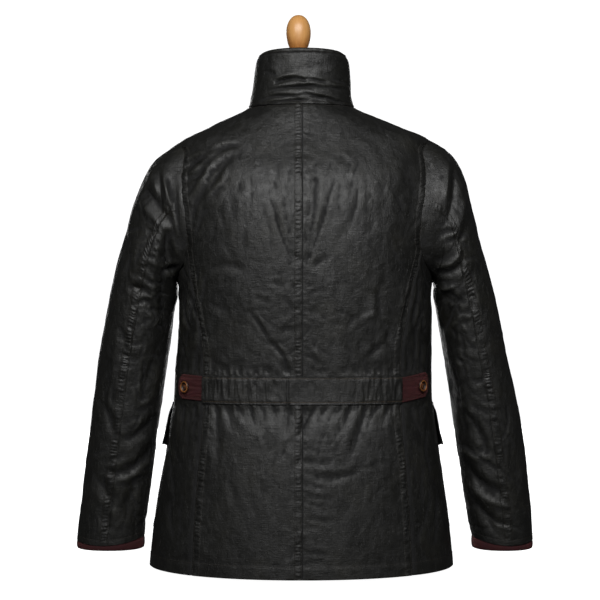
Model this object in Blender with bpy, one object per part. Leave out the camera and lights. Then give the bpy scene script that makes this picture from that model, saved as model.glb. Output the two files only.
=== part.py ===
"""Waxed cotton jacket standing on a limbless dress form.

The frame is in metres with +Z up. The wearer faces -Y, so the wearer's left is +X and the jacket's
back faces +Y. Every cloth piece is a thin wall on a surface that is worked out from the tables below.
On the body a place is (around, level): around is in degrees, 0 at the wearer's left side, 90 at the
centre back, 180 at the right side and 270 at the centre front, and level is a height in metres.
"""
import math
from collections import namedtuple

import bmesh
import bpy
import numpy as np
from mathutils import Vector

# ---- driving dimensions, in metres ------------------------------------------------------------
CLOTH = 0.0016          # wall of the waxed cotton
CORD = 0.0018           # wall of the needlecord trim
SEAM = 0.0004           # gap between two pieces at a seam
LIE = 0.0007            # gap under a piece that lies on another
HEM = 0.010             # height of the hem over the surface that the form stands on
NECK = 0.758            # height of the neck seam at the sides and back
TIP = 0.7062            # height of the shoulder tip, where the armhole starts
UNDERARM = 0.476        # lowest point of the armhole
SIDE_SEAM_Y = -0.012    # the side seam runs a little in front of the widest line
BAND_LOW = 0.2797       # waist band, lower and upper edge
BAND_HIGH = 0.3235
BAND_END = 0.1565       # half length of the band, measured straight across
MIDDLE_X = 0.0048       # puts the middle of the whole box on the frame's axis
MIDDLE_Y = -0.0006

# ---- tables -----------------------------------------------------------------------------------
Section = namedtuple("Section", "level left right back front drop lean square")
SECTIONS = [  # half widths, depths, how far the front falls, how far the right side is higher
    Section(0.010, 0.2505, 0.2485, 0.153, 0.148, 0.000, 0.0000, 2.08),
    Section(0.060, 0.2455, 0.2440, 0.1515, 0.146, 0.000, 0.0000, 2.12),
    Section(0.116, 0.2365, 0.2360, 0.149, 0.143, 0.000, 0.0000, 2.20),
    Section(0.195, 0.2225, 0.2245, 0.1445, 0.138, 0.000, 0.0000, 2.35),
    Section(0.245, 0.2160, 0.2180, 0.1395, 0.134, 0.000, 0.0000, 2.40),
    Section(0.277, 0.2110, 0.2140, 0.1330, 0.130, 0.000, 0.0000, 2.45),
    Section(0.321, 0.2085, 0.2130, 0.1315, 0.128, 0.000, 0.0000, 2.50),
    Section(0.360, 0.2055, 0.2130, 0.1335, 0.130, 0.000, 0.0000, 2.50),
    Section(0.446, 0.2030, 0.2130, 0.139, 0.138, 0.000, 0.0000, 2.50),
    Section(0.505, 0.2060, 0.2140, 0.141, 0.140, 0.000, 0.0005, 2.50),
    Section(0.560, 0.2110, 0.2165, 0.141, 0.136, 0.004, 0.0010, 2.50),
    Section(0.610, 0.2125, 0.2180, 0.137, 0.130, 0.012, 0.0015, 2.48),
    Section(0.650, 0.2115, 0.2170, 0.124, 0.120, 0.024, 0.0020, 2.42),
    Section(0.680, 0.2070, 0.2130, 0.108, 0.111, 0.034, 0.0025, 2.35),
    Section(0.7062, 0.1980, 0.2046, 0.094, 0.105, 0.043, 0.0025, 2.30),
    Section(0.7235, 0.1630, 0.1630, 0.086, 0.102, 0.050, 0.0025, 2.25),
    Section(0.7367, 0.1360, 0.1325, 0.080, 0.100, 0.055, 0.0020, 2.20),
    Section(0.7499, 0.1043, 0.1010, 0.0735, 0.097, 0.059, 0.0010, 2.15),
    Section(0.758, 0.0880, 0.0860, 0.069, 0.095, 0.062, 0.0005, 2.15),
]

Loop = namedtuple("Loop", "turn y")
ARMHOLE = [  # turn 0 at the shoulder tip, 90 at the back, 180 under the arm, 270 at the front
    Loop(-36, -0.047), Loop(0, 0.000), Loop(18, 0.030), Loop(36, 0.050), Loop(54, 0.0615), Loop(72, 0.0735),
    Loop(90, 0.0835), Loop(108, 0.0870), Loop(126, 0.0835), Loop(144, 0.0660), Loop(162, 0.0300),
    Loop(180, -0.0120), Loop(198, -0.0500), Loop(216, -0.0745), Loop(234, -0.0850), Loop(252, -0.0880),
    Loop(270, -0.0850), Loop(288, -0.0780), Loop(306, -0.0660), Loop(324, -0.0470), Loop(342, -0.0240),
    Loop(360, 0.0000), Loop(378, 0.0300),
]
JOIN_TURN = 126         # where the side-back seam runs into the armhole
TURNS = [0, 18, 36, 54, 72, 90, 108, 126, 135, 144, 153, 162, 171, 180,
         198, 216, 234, 252, 270, 288, 306, 324, 342, 360]

Seam = namedtuple("Seam", "level x")
SIDE_BACK_SEAM = [      # distance of the side-back seam from the centre back, straight across
    Seam(0.010, 0.1736), Seam(0.080, 0.1710), Seam(0.180, 0.1640), Seam(0.240, 0.1580),
    Seam(0.277, 0.1565), Seam(0.321, 0.1565), Seam(0.371, 0.1580), Seam(0.410, 0.1650),
    Seam(0.459, 0.1745), Seam(0.523, 0.1830),
]

Ring = namedtuple("Ring", "out_z in_z left_out left_in right_out right_in back front middle")
SLEEVE = [  # outer and inner point of each ring, its depth behind and before its middle
    Ring(0.6905, 0.4680, 0.2211, 0.2072, 0.2325, 0.2178, 0.0835, 0.0850, 0.000),
    Ring(0.6707, 0.4610, 0.2442, 0.2066, 0.2530, 0.2178, 0.0825, 0.0840, 0.000),
    Ring(0.6443, 0.4560, 0.2591, 0.2062, 0.2657, 0.2178, 0.0805, 0.0810, -0.001),
    Ring(0.6047, 0.4505, 0.2756, 0.2060, 0.2772, 0.2176, 0.0775, 0.0770, -0.002),
    Ring(0.5519, 0.4440, 0.2904, 0.2066, 0.2904, 0.2182, 0.0740, 0.0720, -0.003),
    Ring(0.4859, 0.4265, 0.3090, 0.2104, 0.3090, 0.2218, 0.0700, 0.0680, -0.005),
    Ring(0.4200, 0.3870, 0.3225, 0.2158, 0.3250, 0.2285, 0.0665, 0.0640, -0.008),
    Ring(0.3535, 0.3400, 0.3350, 0.2231, 0.3383, 0.2364, 0.0630, 0.0600, -0.012),
    Ring(0.2869, 0.2803, 0.3439, 0.2320, 0.3540, 0.2464, 0.0600, 0.0570, -0.016),
    Ring(0.2201, 0.2170, 0.3526, 0.2415, 0.3663, 0.2549, 0.0570, 0.0545, -0.020),
    Ring(0.1529, 0.1530, 0.3620, 0.2495, 0.3750, 0.2655, 0.0535, 0.0520, -0.025),
    Ring(0.0855, 0.0875, 0.3705, 0.2592, 0.3822, 0.2760, 0.0495, 0.0490, -0.030),
    Ring(0.0452, 0.0510, 0.3755, 0.2632, 0.3850, 0.2835, 0.0470, 0.0470, -0.032),
]
SLEEVE_SQUARE = 2.15
SLEEVE_LEAN = 0.0022    # the right sleeve head sits higher, as its shoulder does
ARMHOLE_GAP = 0.0009
SLEEVE_DIP = 0.008      # the sleeve's end hangs lower at the back
SLEEVE_STEPS = [0.0, 0.6, 1.4, 2.4, 3.4, 4.3, 5.1, 5.8, 6.5, 7.2, 8.0, 9.0, 9.8, 10.6, 11.4, 12.2, 13.0]

Fold = namedtuple("Fold", "x0 z0 x1 z1 bow width depth")
BACK_FOLDS = [  # troughs of the back, from one end to the other, with the bow between them
    Fold(0.034, 0.650, 0.020, 0.505, 0.010, 0.011, 0.0030),
    Fold(-0.020, 0.640, -0.008, 0.565, 0.004, 0.011, 0.0042),
    Fold(-0.050, 0.625, -0.030, 0.545, 0.006, 0.011, 0.0030),
    Fold(-0.158, 0.630, -0.168, 0.545, 0.004, 0.014, 0.0042),
    Fold(0.146, 0.622, 0.152, 0.545, -0.006, 0.018, 0.0035),
    Fold(0.196, 0.655, 0.160, 0.678, 0.000, 0.010, 0.0028),
    Fold(0.158, 0.630, 0.124, 0.678, 0.000, 0.012, 0.0028),
    Fold(0.145, 0.505, 0.088, 0.498, 0.014, 0.013, 0.0032),
    Fold(0.082, 0.405, 0.024, 0.330, 0.000, 0.010, 0.0034),
    Fold(-0.012, 0.368, -0.040, 0.338, 0.000, 0.010, -0.0022),
    Fold(-0.120, 0.480, -0.142, 0.368, 0.006, 0.015, 0.0042),
    Fold(-0.080, 0.420, -0.082, 0.345, 0.010, 0.013, 0.0034),
    Fold(-0.128, 0.376, -0.108, 0.345, 0.000, 0.011, 0.0028),
    Fold(-0.008, 0.206, -0.066, 0.205, -0.012, 0.012, 0.0036),
    Fold(-0.006, 0.184, -0.098, 0.182, -0.016, 0.014, 0.0036),
    Fold(0.205, 0.235, 0.212, 0.060, 0.004, 0.020, 0.0050),
    Fold(-0.190, 0.260, -0.196, 0.150, 0.004, 0.018, 0.0045),
]
FRONT_FOLDS = [  # similar folds on the hidden fronts
    Fold(0.140, 0.620, 0.120, 0.540, 0.006, 0.016, 0.0035),
    Fold(-0.135, 0.615, -0.115, 0.530, -0.006, 0.016, 0.0035),
    Fold(0.150, 0.460, 0.080, 0.400, 0.008, 0.014, 0.0032),
    Fold(-0.150, 0.450, -0.085, 0.385, -0.008, 0.014, 0.0032),
    Fold(0.105, 0.345, 0.060, 0.300, 0.000, 0.014, 0.0030),
    Fold(-0.110, 0.350, -0.060, 0.305, 0.000, 0.014, 0.0030),
    Fold(0.050, 0.200, 0.056, 0.040, 0.004, 0.016, 0.0035),
    Fold(-0.050, 0.190, -0.060, 0.045, -0.004, 0.016, 0.0035),
]

Gather = namedtuple("Gather", "x drift reach depth")
GATHERS_UNDER = [  # gathers that fall from the band: place, drift sideways, length, depth
    Gather(0.134, 0.000, 0.085, 0.0034), Gather(0.117, -0.008, 0.045, 0.0032),
    Gather(0.100, -0.012, 0.030, 0.0026), Gather(0.083, -0.014, 0.045, 0.0034),
    Gather(0.062, -0.006, 0.030, 0.0024), Gather(0.042, -0.004, 0.030, 0.0022),
    Gather(0.020, 0.004, 0.052, 0.0036), Gather(-0.006, 0.008, 0.055, 0.0034),
    Gather(-0.022, 0.040, 0.070, 0.0036), Gather(-0.040, 0.020, 0.030, 0.0024),
    Gather(-0.060, 0.008, 0.028, 0.0022), Gather(-0.077, 0.020, 0.050, 0.0036),
    Gather(-0.102, 0.030, 0.095, 0.0038), Gather(-0.120, 0.020, 0.040, 0.0030),
    Gather(-0.138, 0.014, 0.036, 0.0026),
]
GATHERS_OVER = [  # gathers that rise from the band
    Gather(0.140, 0.004, 0.040, 0.0024), Gather(0.120, -0.004, 0.022, 0.0022),
    Gather(0.098, 0.004, 0.026, 0.0022), Gather(0.072, 0.002, 0.018, 0.0020),
    Gather(0.050, 0.010, 0.020, 0.0022), Gather(0.022, 0.006, 0.028, 0.0030),
    Gather(-0.030, 0.004, 0.014, 0.0016), Gather(-0.068, 0.004, 0.016, 0.0020),
    Gather(-0.086, 0.006, 0.024, 0.0030), Gather(-0.106, 0.012, 0.030, 0.0032),
    Gather(-0.126, 0.010, 0.024, 0.0026), Gather(-0.146, 0.004, 0.030, 0.0024),
]
GATHER_WIDTH = 0.0066

Crease = namedtuple("Crease", "turn0 step0 turn1 step1 width depth")
LEFT_CREASES = [  # troughs of the left sleeve; step 0 is the armhole and step 13 the end
    Crease(60, 1.2, 118, 4.4, 0.014, 0.0050), Crease(84, 1.2, 30, 4.2, 0.018, -0.0035),
    Crease(60, 4.6, 128, 5.6, 0.012, 0.0045), Crease(20, 5.2, 70, 5.9, 0.013, 0.0035),
    Crease(70, 6.0, 122, 6.8, 0.013, 0.0035), Crease(30, 8.2, 84, 9.2, 0.015, 0.0038),
    Crease(60, 10.2, 124, 9.4, 0.016, -0.0032), Crease(40, 11.0, 92, 11.7, 0.013, 0.0040),
    Crease(250, 6.0, 300, 6.8, 0.016, 0.0045), Crease(240, 5.0, 290, 5.4, 0.014, 0.0035),
    Crease(200, 3.6, 250, 4.6, 0.014, 0.0040), Crease(250, 8.6, 310, 9.6, 0.016, 0.0030),
]
RIGHT_CREASES = [
    Crease(56, 0.8, 84, 4.6, 0.014, 0.0050), Crease(104, 1.0, 96, 3.6, 0.016, -0.0032),
    Crease(64, 4.8, 118, 4.6, 0.012, 0.0045), Crease(54, 5.6, 112, 5.2, 0.013, 0.0040),
    Crease(52, 6.6, 112, 6.3, 0.013, 0.0038), Crease(60, 9.0, 108, 8.4, 0.015, 0.0030),
    Crease(30, 11.2, 92, 11.8, 0.014, 0.0045), Crease(92, 11.8, 136, 11.1, 0.014, 0.0045),
    Crease(250, 6.0, 300, 6.6, 0.016, 0.0045), Crease(240, 5.1, 292, 5.6, 0.014, 0.0035),
    Crease(196, 3.8, 246, 4.7, 0.014, 0.0040), Crease(246, 9.0, 306, 9.8, 0.016, 0.0030),
]
TURN_LENGTH = 0.00112   # a degree of turn is about this long on a sleeve
STEP_LENGTH = 0.046     # and a step between two rings this long

Stand = namedtuple("Stand", "rise left right back front")
COLLAR = [  # from the neck seam to the top edge
    Stand(0.00, 0.0880, 0.0860, 0.0690, 0.0950), Stand(0.20, 0.0842, 0.0815, 0.0685, 0.0925),
    Stand(0.40, 0.0810, 0.0805, 0.0680, 0.0905), Stand(0.70, 0.0776, 0.0790, 0.0675, 0.0880),
    Stand(1.00, 0.0735, 0.0752, 0.0670, 0.0860),
]
COLLAR_TOP = 0.848      # height of the collar's edge at the back and sides
COLLAR_TOP_FRONT = 0.806
COLLAR_SQUARE = 2.15
COLLAR_GAP = 1.2        # degrees left open on each side of the centre front
COLLAR_CREASES = [      # level across the back, half reach in degrees, bow, width, depth
    (0.795, 28, 0.004, 0.0055, 0.0026), (0.779, 46, 0.003, 0.0070, 0.0014),
    (0.768, 52, 0.002, 0.0060, 0.0016),
]

Torso = namedtuple("Torso", "level half back front drop square")
TORSO = [  # the dress form, clear of the cloth
    Torso(0.0186, 0.166, 0.112, 0.106, 0.000, 2.2), Torso(0.080, 0.174, 0.120, 0.110, 0.000, 2.2),
    Torso(0.170, 0.172, 0.118, 0.106, 0.000, 2.2), Torso(0.240, 0.154, 0.102, 0.096, 0.000, 2.2),
    Torso(0.300, 0.142, 0.092, 0.092, 0.000, 2.2), Torso(0.370, 0.148, 0.098, 0.100, 0.000, 2.2),
    Torso(0.450, 0.164, 0.112, 0.114, 0.000, 2.3), Torso(0.540, 0.176, 0.118, 0.112, 0.004, 2.4),
    Torso(0.610, 0.178, 0.115, 0.105, 0.012, 2.4), Torso(0.660, 0.175, 0.100, 0.096, 0.026, 2.3),
    Torso(0.688, 0.164, 0.086, 0.090, 0.036, 2.2), Torso(0.704, 0.144, 0.078, 0.086, 0.043, 2.2),
    Torso(0.722, 0.111, 0.070, 0.082, 0.050, 2.1), Torso(0.738, 0.085, 0.063, 0.077, 0.050, 2.1),
    Torso(0.758, 0.065, 0.054, 0.063, 0.038, 2.0), Torso(0.790, 0.056, 0.049, 0.053, 0.014, 2.0),
    Torso(0.822, 0.055, 0.049, 0.051, 0.000, 2.0),
]
TORSO_SIDES = 26
BASE_HEIGHT = 0.018
BASE_HALF = (0.150, 0.098)
BASE_MIDDLE_Y = -0.012
BASE_SIDES = 30
CAP_LOW = 0.8224
CAP_HIGH = 0.836
KNOB_LOW = 0.8364
KNOB_TOP = 0.913
KNOB_RADIUS = 0.0207
KNOB_WIDEST = 0.884
KNOB_X = 0.0058
KNOB_STEM = 0.0105

BAND_FLAT_MIDDLE = -0.028   # the band is ruched but for a flat stretch by the centre
BAND_FLAT_HALF = 0.055
RUCHE_PITCH = 0.0163
RUCHE_HEIGHT = 0.0014

TAB_WIDTH = 0.0382
TAB_LIE = 0.0011        # gap under the tabs
TAB_BLUNT = 0.016       # how far from its end a tab starts to narrow
Tab = namedtuple("Tab", "start length middle slope button")
TABS = {"left": Tab(BAND_END + 0.0006, 0.0550, 0.3032, 0.04, 0.0330),
        "right": Tab(BAND_END + 0.0006, 0.0610, 0.3008, 0.14, 0.0395)}
BUTTON_RADIUS = 0.0100
BUTTON_THICK = 0.0042
STUD_RADIUS = 0.0072
STUD_THICK = 0.0032
TRIM_LIE = 0.0009       # gap under buttons and studs

POCKET_AROUND = (-3.0, -56.0)     # from the side towards the front, in degrees of the section
POCKET_LOW = 0.068
POCKET_HIGH = 0.262
POCKET_PUFF = 0.0045
FLAP_LOW = 0.203
FLAP_HIGH = 0.2745
FLAP_KICK = 0.0044       # how far the flap's lower edge stands off
FLAP_POINT = 0.010      # the flap's lower edge falls to its middle
FLAP_STUD = (0.5, 0.80) # fractions across and down the flap
FLY_HALF = 0.030
FLY_LIE = 0.0010        # gap under the fly
FLY_STUDS = (0.080, 0.215, 0.350, 0.485, 0.620)
CUFF_LOW = 0.0315
CUFF_TOP_STEP = 12.4    # how far up inside the sleeve the cuff starts


# ---- small tools ------------------------------------------------------------------------------
def smooth(at, knots, values):
    """A cubic through the rows of a table, flat outside its ends."""
    knots = np.asarray(knots, float)
    values = np.asarray(values, float)
    at = np.asarray(at, float)
    slopes = np.gradient(values, knots)
    low = np.clip(np.searchsorted(knots, at) - 1, 0, len(knots) - 2)
    span = knots[low + 1] - knots[low]
    t = np.clip((at - knots[low]) / span, 0.0, 1.0)
    return ((2 * t ** 3 - 3 * t ** 2 + 1) * values[low] + (t ** 3 - 2 * t ** 2 + t) * span * slopes[low]
            + (3 * t ** 2 - 2 * t ** 3) * values[low + 1] + (t ** 3 - t ** 2) * span * slopes[low + 1])


def column(rows, field, key, at):
    """One column of a table, read at any place between its rows."""
    return smooth(at, [getattr(row, key) for row in rows], [getattr(row, field) for row in rows])


def signed_power(value, power):
    return np.sign(value) * np.abs(value) ** power


def ramp(value, low, high):
    """0 below low, 1 above high and smooth between."""
    t = np.clip((value - low) / (high - low), 0.0, 1.0)
    return t * t * (3 - 2 * t)


def stack(x, y, z):
    return np.stack(np.broadcast_arrays(x, y, z), axis=-1)


def unit(vectors):
    return vectors / np.maximum(np.linalg.norm(vectors, axis=-1, keepdims=True), 1e-12)


def outward(surface, a, b, steps, way=1):
    """The surface's unit normal; way turns it out where the surface is mirrored."""
    along_a = surface(a + steps[0], b) - surface(a - steps[0], b)
    along_b = surface(a, b + steps[1]) - surface(a, b - steps[1])
    return unit(np.cross(along_a, along_b)) * way


def trough(across, along, width, depth):
    """A soft trough, with low lips, that fades out towards both ends."""
    fade = np.clip(1 - (2 * along - 1) ** 2, 0, 1) ** 0.7
    fade = np.where((along < 0) | (along > 1), 0.0, fade)
    q = across / width
    return -depth * fade * (1 - 0.45 * q * q) * np.exp(-q * q)


def fold_height(folds, x, z):
    """The sum of a table of folds at a place of the cloth."""
    total = np.zeros(np.broadcast(x, z).shape)
    for fold in folds:
        run_x, run_z = fold.x1 - fold.x0, fold.z1 - fold.z0
        length = math.hypot(run_x, run_z)
        along = ((x - fold.x0) * run_x + (z - fold.z0) * run_z) / length ** 2
        across = ((x - fold.x0) * run_z - (z - fold.z0) * run_x) / length
        bow = fold.bow * 4 * along * (1 - along)
        total = total + trough(across - bow, along, fold.width, fold.depth)
    return total


def gather_height(x, level):
    """The gathers on both sides of the waist band."""
    total = np.zeros(np.broadcast(x, level).shape)
    for gathers, edge, way in ((GATHERS_UNDER, BAND_LOW, -1), (GATHERS_OVER, BAND_HIGH, 1)):
        away = way * (level - edge)
        for gather in gathers:
            t = away / gather.reach
            middle = gather.x + gather.drift * np.clip(t, 0, 1)
            width = GATHER_WIDTH * (1 + 0.8 * np.clip(t, 0, 1))
            fade = np.where(t > 0, ramp(away, 0.0, 0.010) * np.clip(1 - t, 0, 1) ** 0.8, 0.0)
            total = total - gather.depth * fade * np.exp(-((x - middle) / width) ** 2)
    return total


# ---- the body surface -------------------------------------------------------------------------
def section(level):
    return {field: column(SECTIONS, field, "level", level) for field in Section._fields[1:]}


def plain_body(around, level):
    """The body without its folds."""
    s = section(level)
    cosine = np.cos(np.radians(around))
    sine = np.sin(np.radians(around))
    half = np.where(cosine >= 0, s["left"], s["right"])
    depth = np.where(sine >= 0, s["back"], s["front"])
    x = half * signed_power(cosine, 2 / s["square"])
    y = depth * signed_power(sine, 2 / s["square"])
    z = level - s["drop"] * np.maximum(0, -sine) ** 2 - s["lean"] * cosine
    return stack(x, y, z)


BODY_STEPS = (0.05, 0.0003)


def body(around, level):
    """The outer face of the jacket's body, with its folds and gathers."""
    around, level = np.broadcast_arrays(np.asarray(around, float), np.asarray(level, float))
    point = plain_body(around, level)
    normal = outward(plain_body, around, level, BODY_STEPS)
    x, z = point[..., 0], point[..., 2]
    behind = point[..., 1] > 0
    calm = ramp(np.abs(level - (BAND_LOW + BAND_HIGH) / 2), 0.020, 0.032)
    quiet_top = 1 - ramp(level, 0.690, 0.706)
    height = np.where(behind, fold_height(BACK_FOLDS, x, z), fold_height(FRONT_FOLDS, x, z))
    height = height * calm * quiet_top
    height = height + np.where(behind, gather_height(x, level), 0.5 * gather_height(-x, level))
    height = height * ramp(level, HEM - 0.002, HEM + 0.030)
    return point + normal * height[..., None]


def body_normal(around, level):
    """The way out of the body; folds don't turn it, so a wall never crosses itself."""
    return outward(plain_body, around, level, BODY_STEPS)


def body_out(around, level, distance):
    """Points at a distance, one for all or one for each, outside the body's outer face."""
    distance = np.broadcast_to(distance, np.broadcast(around, level).shape)
    return body(around, level) + body_normal(around, level) * distance[..., None]


def degrees_at(x, level, side, face):
    """The place around the body of a point at a distance x from the middle, on one face."""
    s = section(level)
    half = s[side]
    ratio = np.clip(np.abs(x) / half, 0, 1)
    angle = np.degrees(np.arccos(ratio ** (s["square"] / 2)))
    return mirror(angle * face, side)


def degrees_at_depth(y, level, side):
    """The place around the body of a point at a depth y, by its side seam."""
    s = section(level)
    depth = np.where(y >= 0, s["back"], s["front"])
    ratio = np.clip(np.abs(y) / depth, 0, 1)
    angle = np.degrees(np.arcsin(ratio ** (s["square"] / 2)))
    return mirror(np.sign(y) * angle, side)


def mirror(angle, side):
    """Turns an angle from the left side line into a place around the body."""
    return angle if side == "left" else 180 - angle


# ---- the armhole ------------------------------------------------------------------------------
def armhole_level(turn):
    middle = (TIP + UNDERARM) / 2
    return middle + (TIP - UNDERARM) / 2 * np.cos(np.radians(turn))


def armhole_around(turn, side):
    turn = np.mod(np.asarray(turn, float), 360)
    y = column(ARMHOLE, "y", "turn", turn)
    return degrees_at_depth(y, armhole_level(turn), side)


def armhole_turn(level, face):
    """The turn of the armhole at a level, on the back (face 1) or the front (face -1)."""
    middle = (TIP + UNDERARM) / 2
    cosine = np.clip((level - middle) / ((TIP - UNDERARM) / 2), -1, 1)
    angle = np.degrees(np.arccos(cosine))
    return angle if face > 0 else 360 - angle


# ---- mesh building ----------------------------------------------------------------------------
def material(name, color, roughness, metallic=0.0):
    made = bpy.data.materials.get(name) or bpy.data.materials.new(name)
    made.use_nodes = True
    shader = made.node_tree.nodes["Principled BSDF"]
    shader.inputs["Base Color"].default_value = (*color, 1.0)
    shader.inputs["Roughness"].default_value = roughness
    shader.inputs["Metallic"].default_value = metallic
    return made


def add_object(name, vertices, faces, made, parent, crease_angle=40):
    mesh = bpy.data.meshes.new(name)
    mesh.from_pydata([tuple(map(float, vertex)) for vertex in vertices], [], faces)
    work = bmesh.new()
    work.from_mesh(mesh)
    bmesh.ops.recalc_face_normals(work, faces=work.faces)
    work.to_mesh(mesh)
    work.free()
    mesh.shade_smooth()
    mesh.set_sharp_from_angle(angle=math.radians(crease_angle))
    mesh.materials.append(made)
    made_object = bpy.data.objects.new(name, mesh)
    made_object.parent = parent
    bpy.context.scene.collection.objects.link(made_object)
    return made_object


def add_wall(name, outer, inner, made, parent, closed=False):
    """A thin wall between two grids of points; closed joins the last column to the first.

    Both faces are cut along the same diagonals, so that they keep their distance where the wall twists.
    """
    rows, columns = outer.shape[:2]
    vertices = np.concatenate([outer.reshape(-1, 3), inner.reshape(-1, 3)])
    last = columns if closed else columns - 1

    def at(layer, i, j):
        return layer * rows * columns + i * columns + j % columns

    faces = []
    for i in range(rows - 1):
        for j in range(last):
            for triangle in (((i, j), (i, j + 1), (i + 1, j + 1)), ((i, j), (i + 1, j + 1), (i + 1, j))):
                faces.append([at(0, *corner) for corner in triangle])
                faces.append([at(1, *corner) for corner in reversed(triangle)])
    for j in range(last):
        faces.append([at(0, 0, j), at(1, 0, j), at(1, 0, j + 1), at(0, 0, j + 1)])
        top = rows - 1
        faces.append([at(0, top, j + 1), at(1, top, j + 1), at(1, top, j), at(0, top, j)])
    if not closed:
        end = columns - 1
        for i in range(rows - 1):
            faces.append([at(0, i, 0), at(0, i + 1, 0), at(1, i + 1, 0), at(1, i, 0)])
            faces.append([at(0, i + 1, end), at(0, i, end), at(1, i, end), at(1, i + 1, end)])
    return add_object(name, vertices, faces, made, parent)


def add_lathe(name, profile, sides, place, made, parent, tilt=None):
    """A solid turned from (radius, height) pairs that start and end on its axis."""
    vertices = [(0.0, 0.0, profile[0][1])]
    for radius, height in profile[1:-1]:
        for k in range(sides):
            angle = 2 * math.pi * k / sides
            vertices.append((radius * math.cos(angle), radius * math.sin(angle), height))
    vertices.append((0.0, 0.0, profile[-1][1]))
    rings = len(profile) - 2
    faces = [[0, 1 + (k + 1) % sides, 1 + k] for k in range(sides)]
    for ring in range(rings - 1):
        for k in range(sides):
            low, high = 1 + ring * sides, 1 + (ring + 1) * sides
            faces.append([low + k, low + (k + 1) % sides, high + (k + 1) % sides, high + k])
    start = 1 + (rings - 1) * sides
    faces += [[start + k, start + (k + 1) % sides, len(vertices) - 1] for k in range(sides)]
    turned = add_object(name, vertices, faces, made, parent)
    turned.location = place
    if tilt is not None:
        turned.rotation_mode = "QUATERNION"
        turned.rotation_quaternion = tilt
    return turned


def seam_inset(points):
    """Draws the first and last column of a grid in by half a seam gap."""
    grid = points.copy()
    for edge, inside in ((0, 1), (-1, -2)):
        grid[:, edge] += unit(points[:, inside] - points[:, edge]) * SEAM / 2
    return grid


def add_panel(name, around, level, made, parent):
    """A panel of the body on a grid of places, with its edges half a seam gap in."""
    outer = seam_inset(body(around, level))
    inner = seam_inset(body_out(around, level, -CLOTH))
    return add_wall(name, outer, inner, made, parent)


def add_laid(name, around, level, lift, wall, made, parent):
    """A piece that lies on the body: its own wall, lifted off the panel's outer face."""
    return add_wall(name, body_out(around, level, lift + wall), body_out(around, level, lift), made, parent)


# ---- panels of the body -----------------------------------------------------------------------
SKIRT_LEVELS = [HEM, 0.050, 0.095, 0.140, 0.176, 0.204, 0.228, 0.248, 0.263, 0.2725]
WAIST_LEVELS = [0.2995, 0.3265, 0.337, 0.352, 0.376, 0.412, 0.450]
UNDERARM_LEVEL = 0.487
SHOULDER_LEVELS = [0.7235, 0.7400, 0.7520, NECK - 0.0002]
FRONT_SKIRT_LEVELS = [HEM, 0.095, 0.176, 0.228, 0.263, 0.2725]
FRONT_WAIST_LEVELS = [0.2995, 0.3265, 0.352, 0.412, 0.450]
BACK_COLUMNS = 18
SIDE_TURNS = [126, 135, 144, 153, 162, 171, 180]
FRONT_COLUMNS = 8


def spread(count, pull):
    """Fractions from 0 to 1; pull 1 crowds them at the end, as a ridge needs."""
    even = np.linspace(0, 1, count + 1)
    crowded = np.sin(even * np.pi / 2)
    return even + (crowded - even) * pull


def panel_grid(levels, edges, side, face, columns):
    """Places from the centre line to an edge that is given for each level."""
    rows = []
    for level, edge in zip(levels, edges):
        half = float(section(level)[side])
        pull = float(ramp(edge / half, 0.90, 0.99))
        x = spread(columns, pull) * edge
        rows.append(degrees_at(x, level, side, face))
    around = np.array(rows)
    return around, np.broadcast_to(np.array(levels)[:, None], around.shape)


def armhole_x(level, side, face):
    turn = armhole_turn(level, face)
    return abs(float(plain_body(armhole_around(turn, side), level)[0]))


def back_edges(levels, side):
    """How far the back panel reaches at each level: side-back seam, armhole, then shoulder ridge."""
    join = float(armhole_level(JOIN_TURN))
    edges = []
    for level in levels:
        if level < join - 1e-6:
            seam = float(column(SIDE_BACK_SEAM, "x", "level", level))
            met = armhole_x(join, side, 1)
            pull = float(ramp(level, WAIST_LEVELS[-1], join))
            edges.append(seam + (met - SIDE_BACK_SEAM[-1].x) * pull)
        elif level < TIP - 1e-6:
            edges.append(armhole_x(level, side, 1))
        else:
            edges.append(float(section(level)[side]))
    return edges


def back_levels():
    turns = [turn for turn in TURNS if turn <= JOIN_TURN]
    armhole = sorted(float(armhole_level(turn)) for turn in turns)
    return SKIRT_LEVELS + WAIST_LEVELS + [UNDERARM_LEVEL] + armhole + SHOULDER_LEVELS


def front_levels():
    turns = [turn for turn in TURNS if turn >= 180]
    armhole = sorted(float(armhole_level(turn)) for turn in turns)
    return FRONT_SKIRT_LEVELS + FRONT_WAIST_LEVELS + armhole + SHOULDER_LEVELS


def add_back(side, made, parent):
    levels = back_levels()
    around, level = panel_grid(levels, back_edges(levels, side), side, 1, BACK_COLUMNS)
    add_panel("back_" + side, around, level, made, parent)


def add_front(side, made, parent):
    levels = front_levels()
    edges = []
    for level in levels:
        if level < UNDERARM - 1e-6:
            around = degrees_at_depth(SIDE_SEAM_Y, level, side)
            edges.append(abs(float(plain_body(around, level)[0])))
        elif level < TIP - 1e-6:
            edges.append(armhole_x(level, side, -1))
        else:
            edges.append(float(section(level)[side]))
    around, level = panel_grid(levels, edges, side, -1, FRONT_COLUMNS)
    add_panel("front_" + side, around, level, made, parent)


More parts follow.
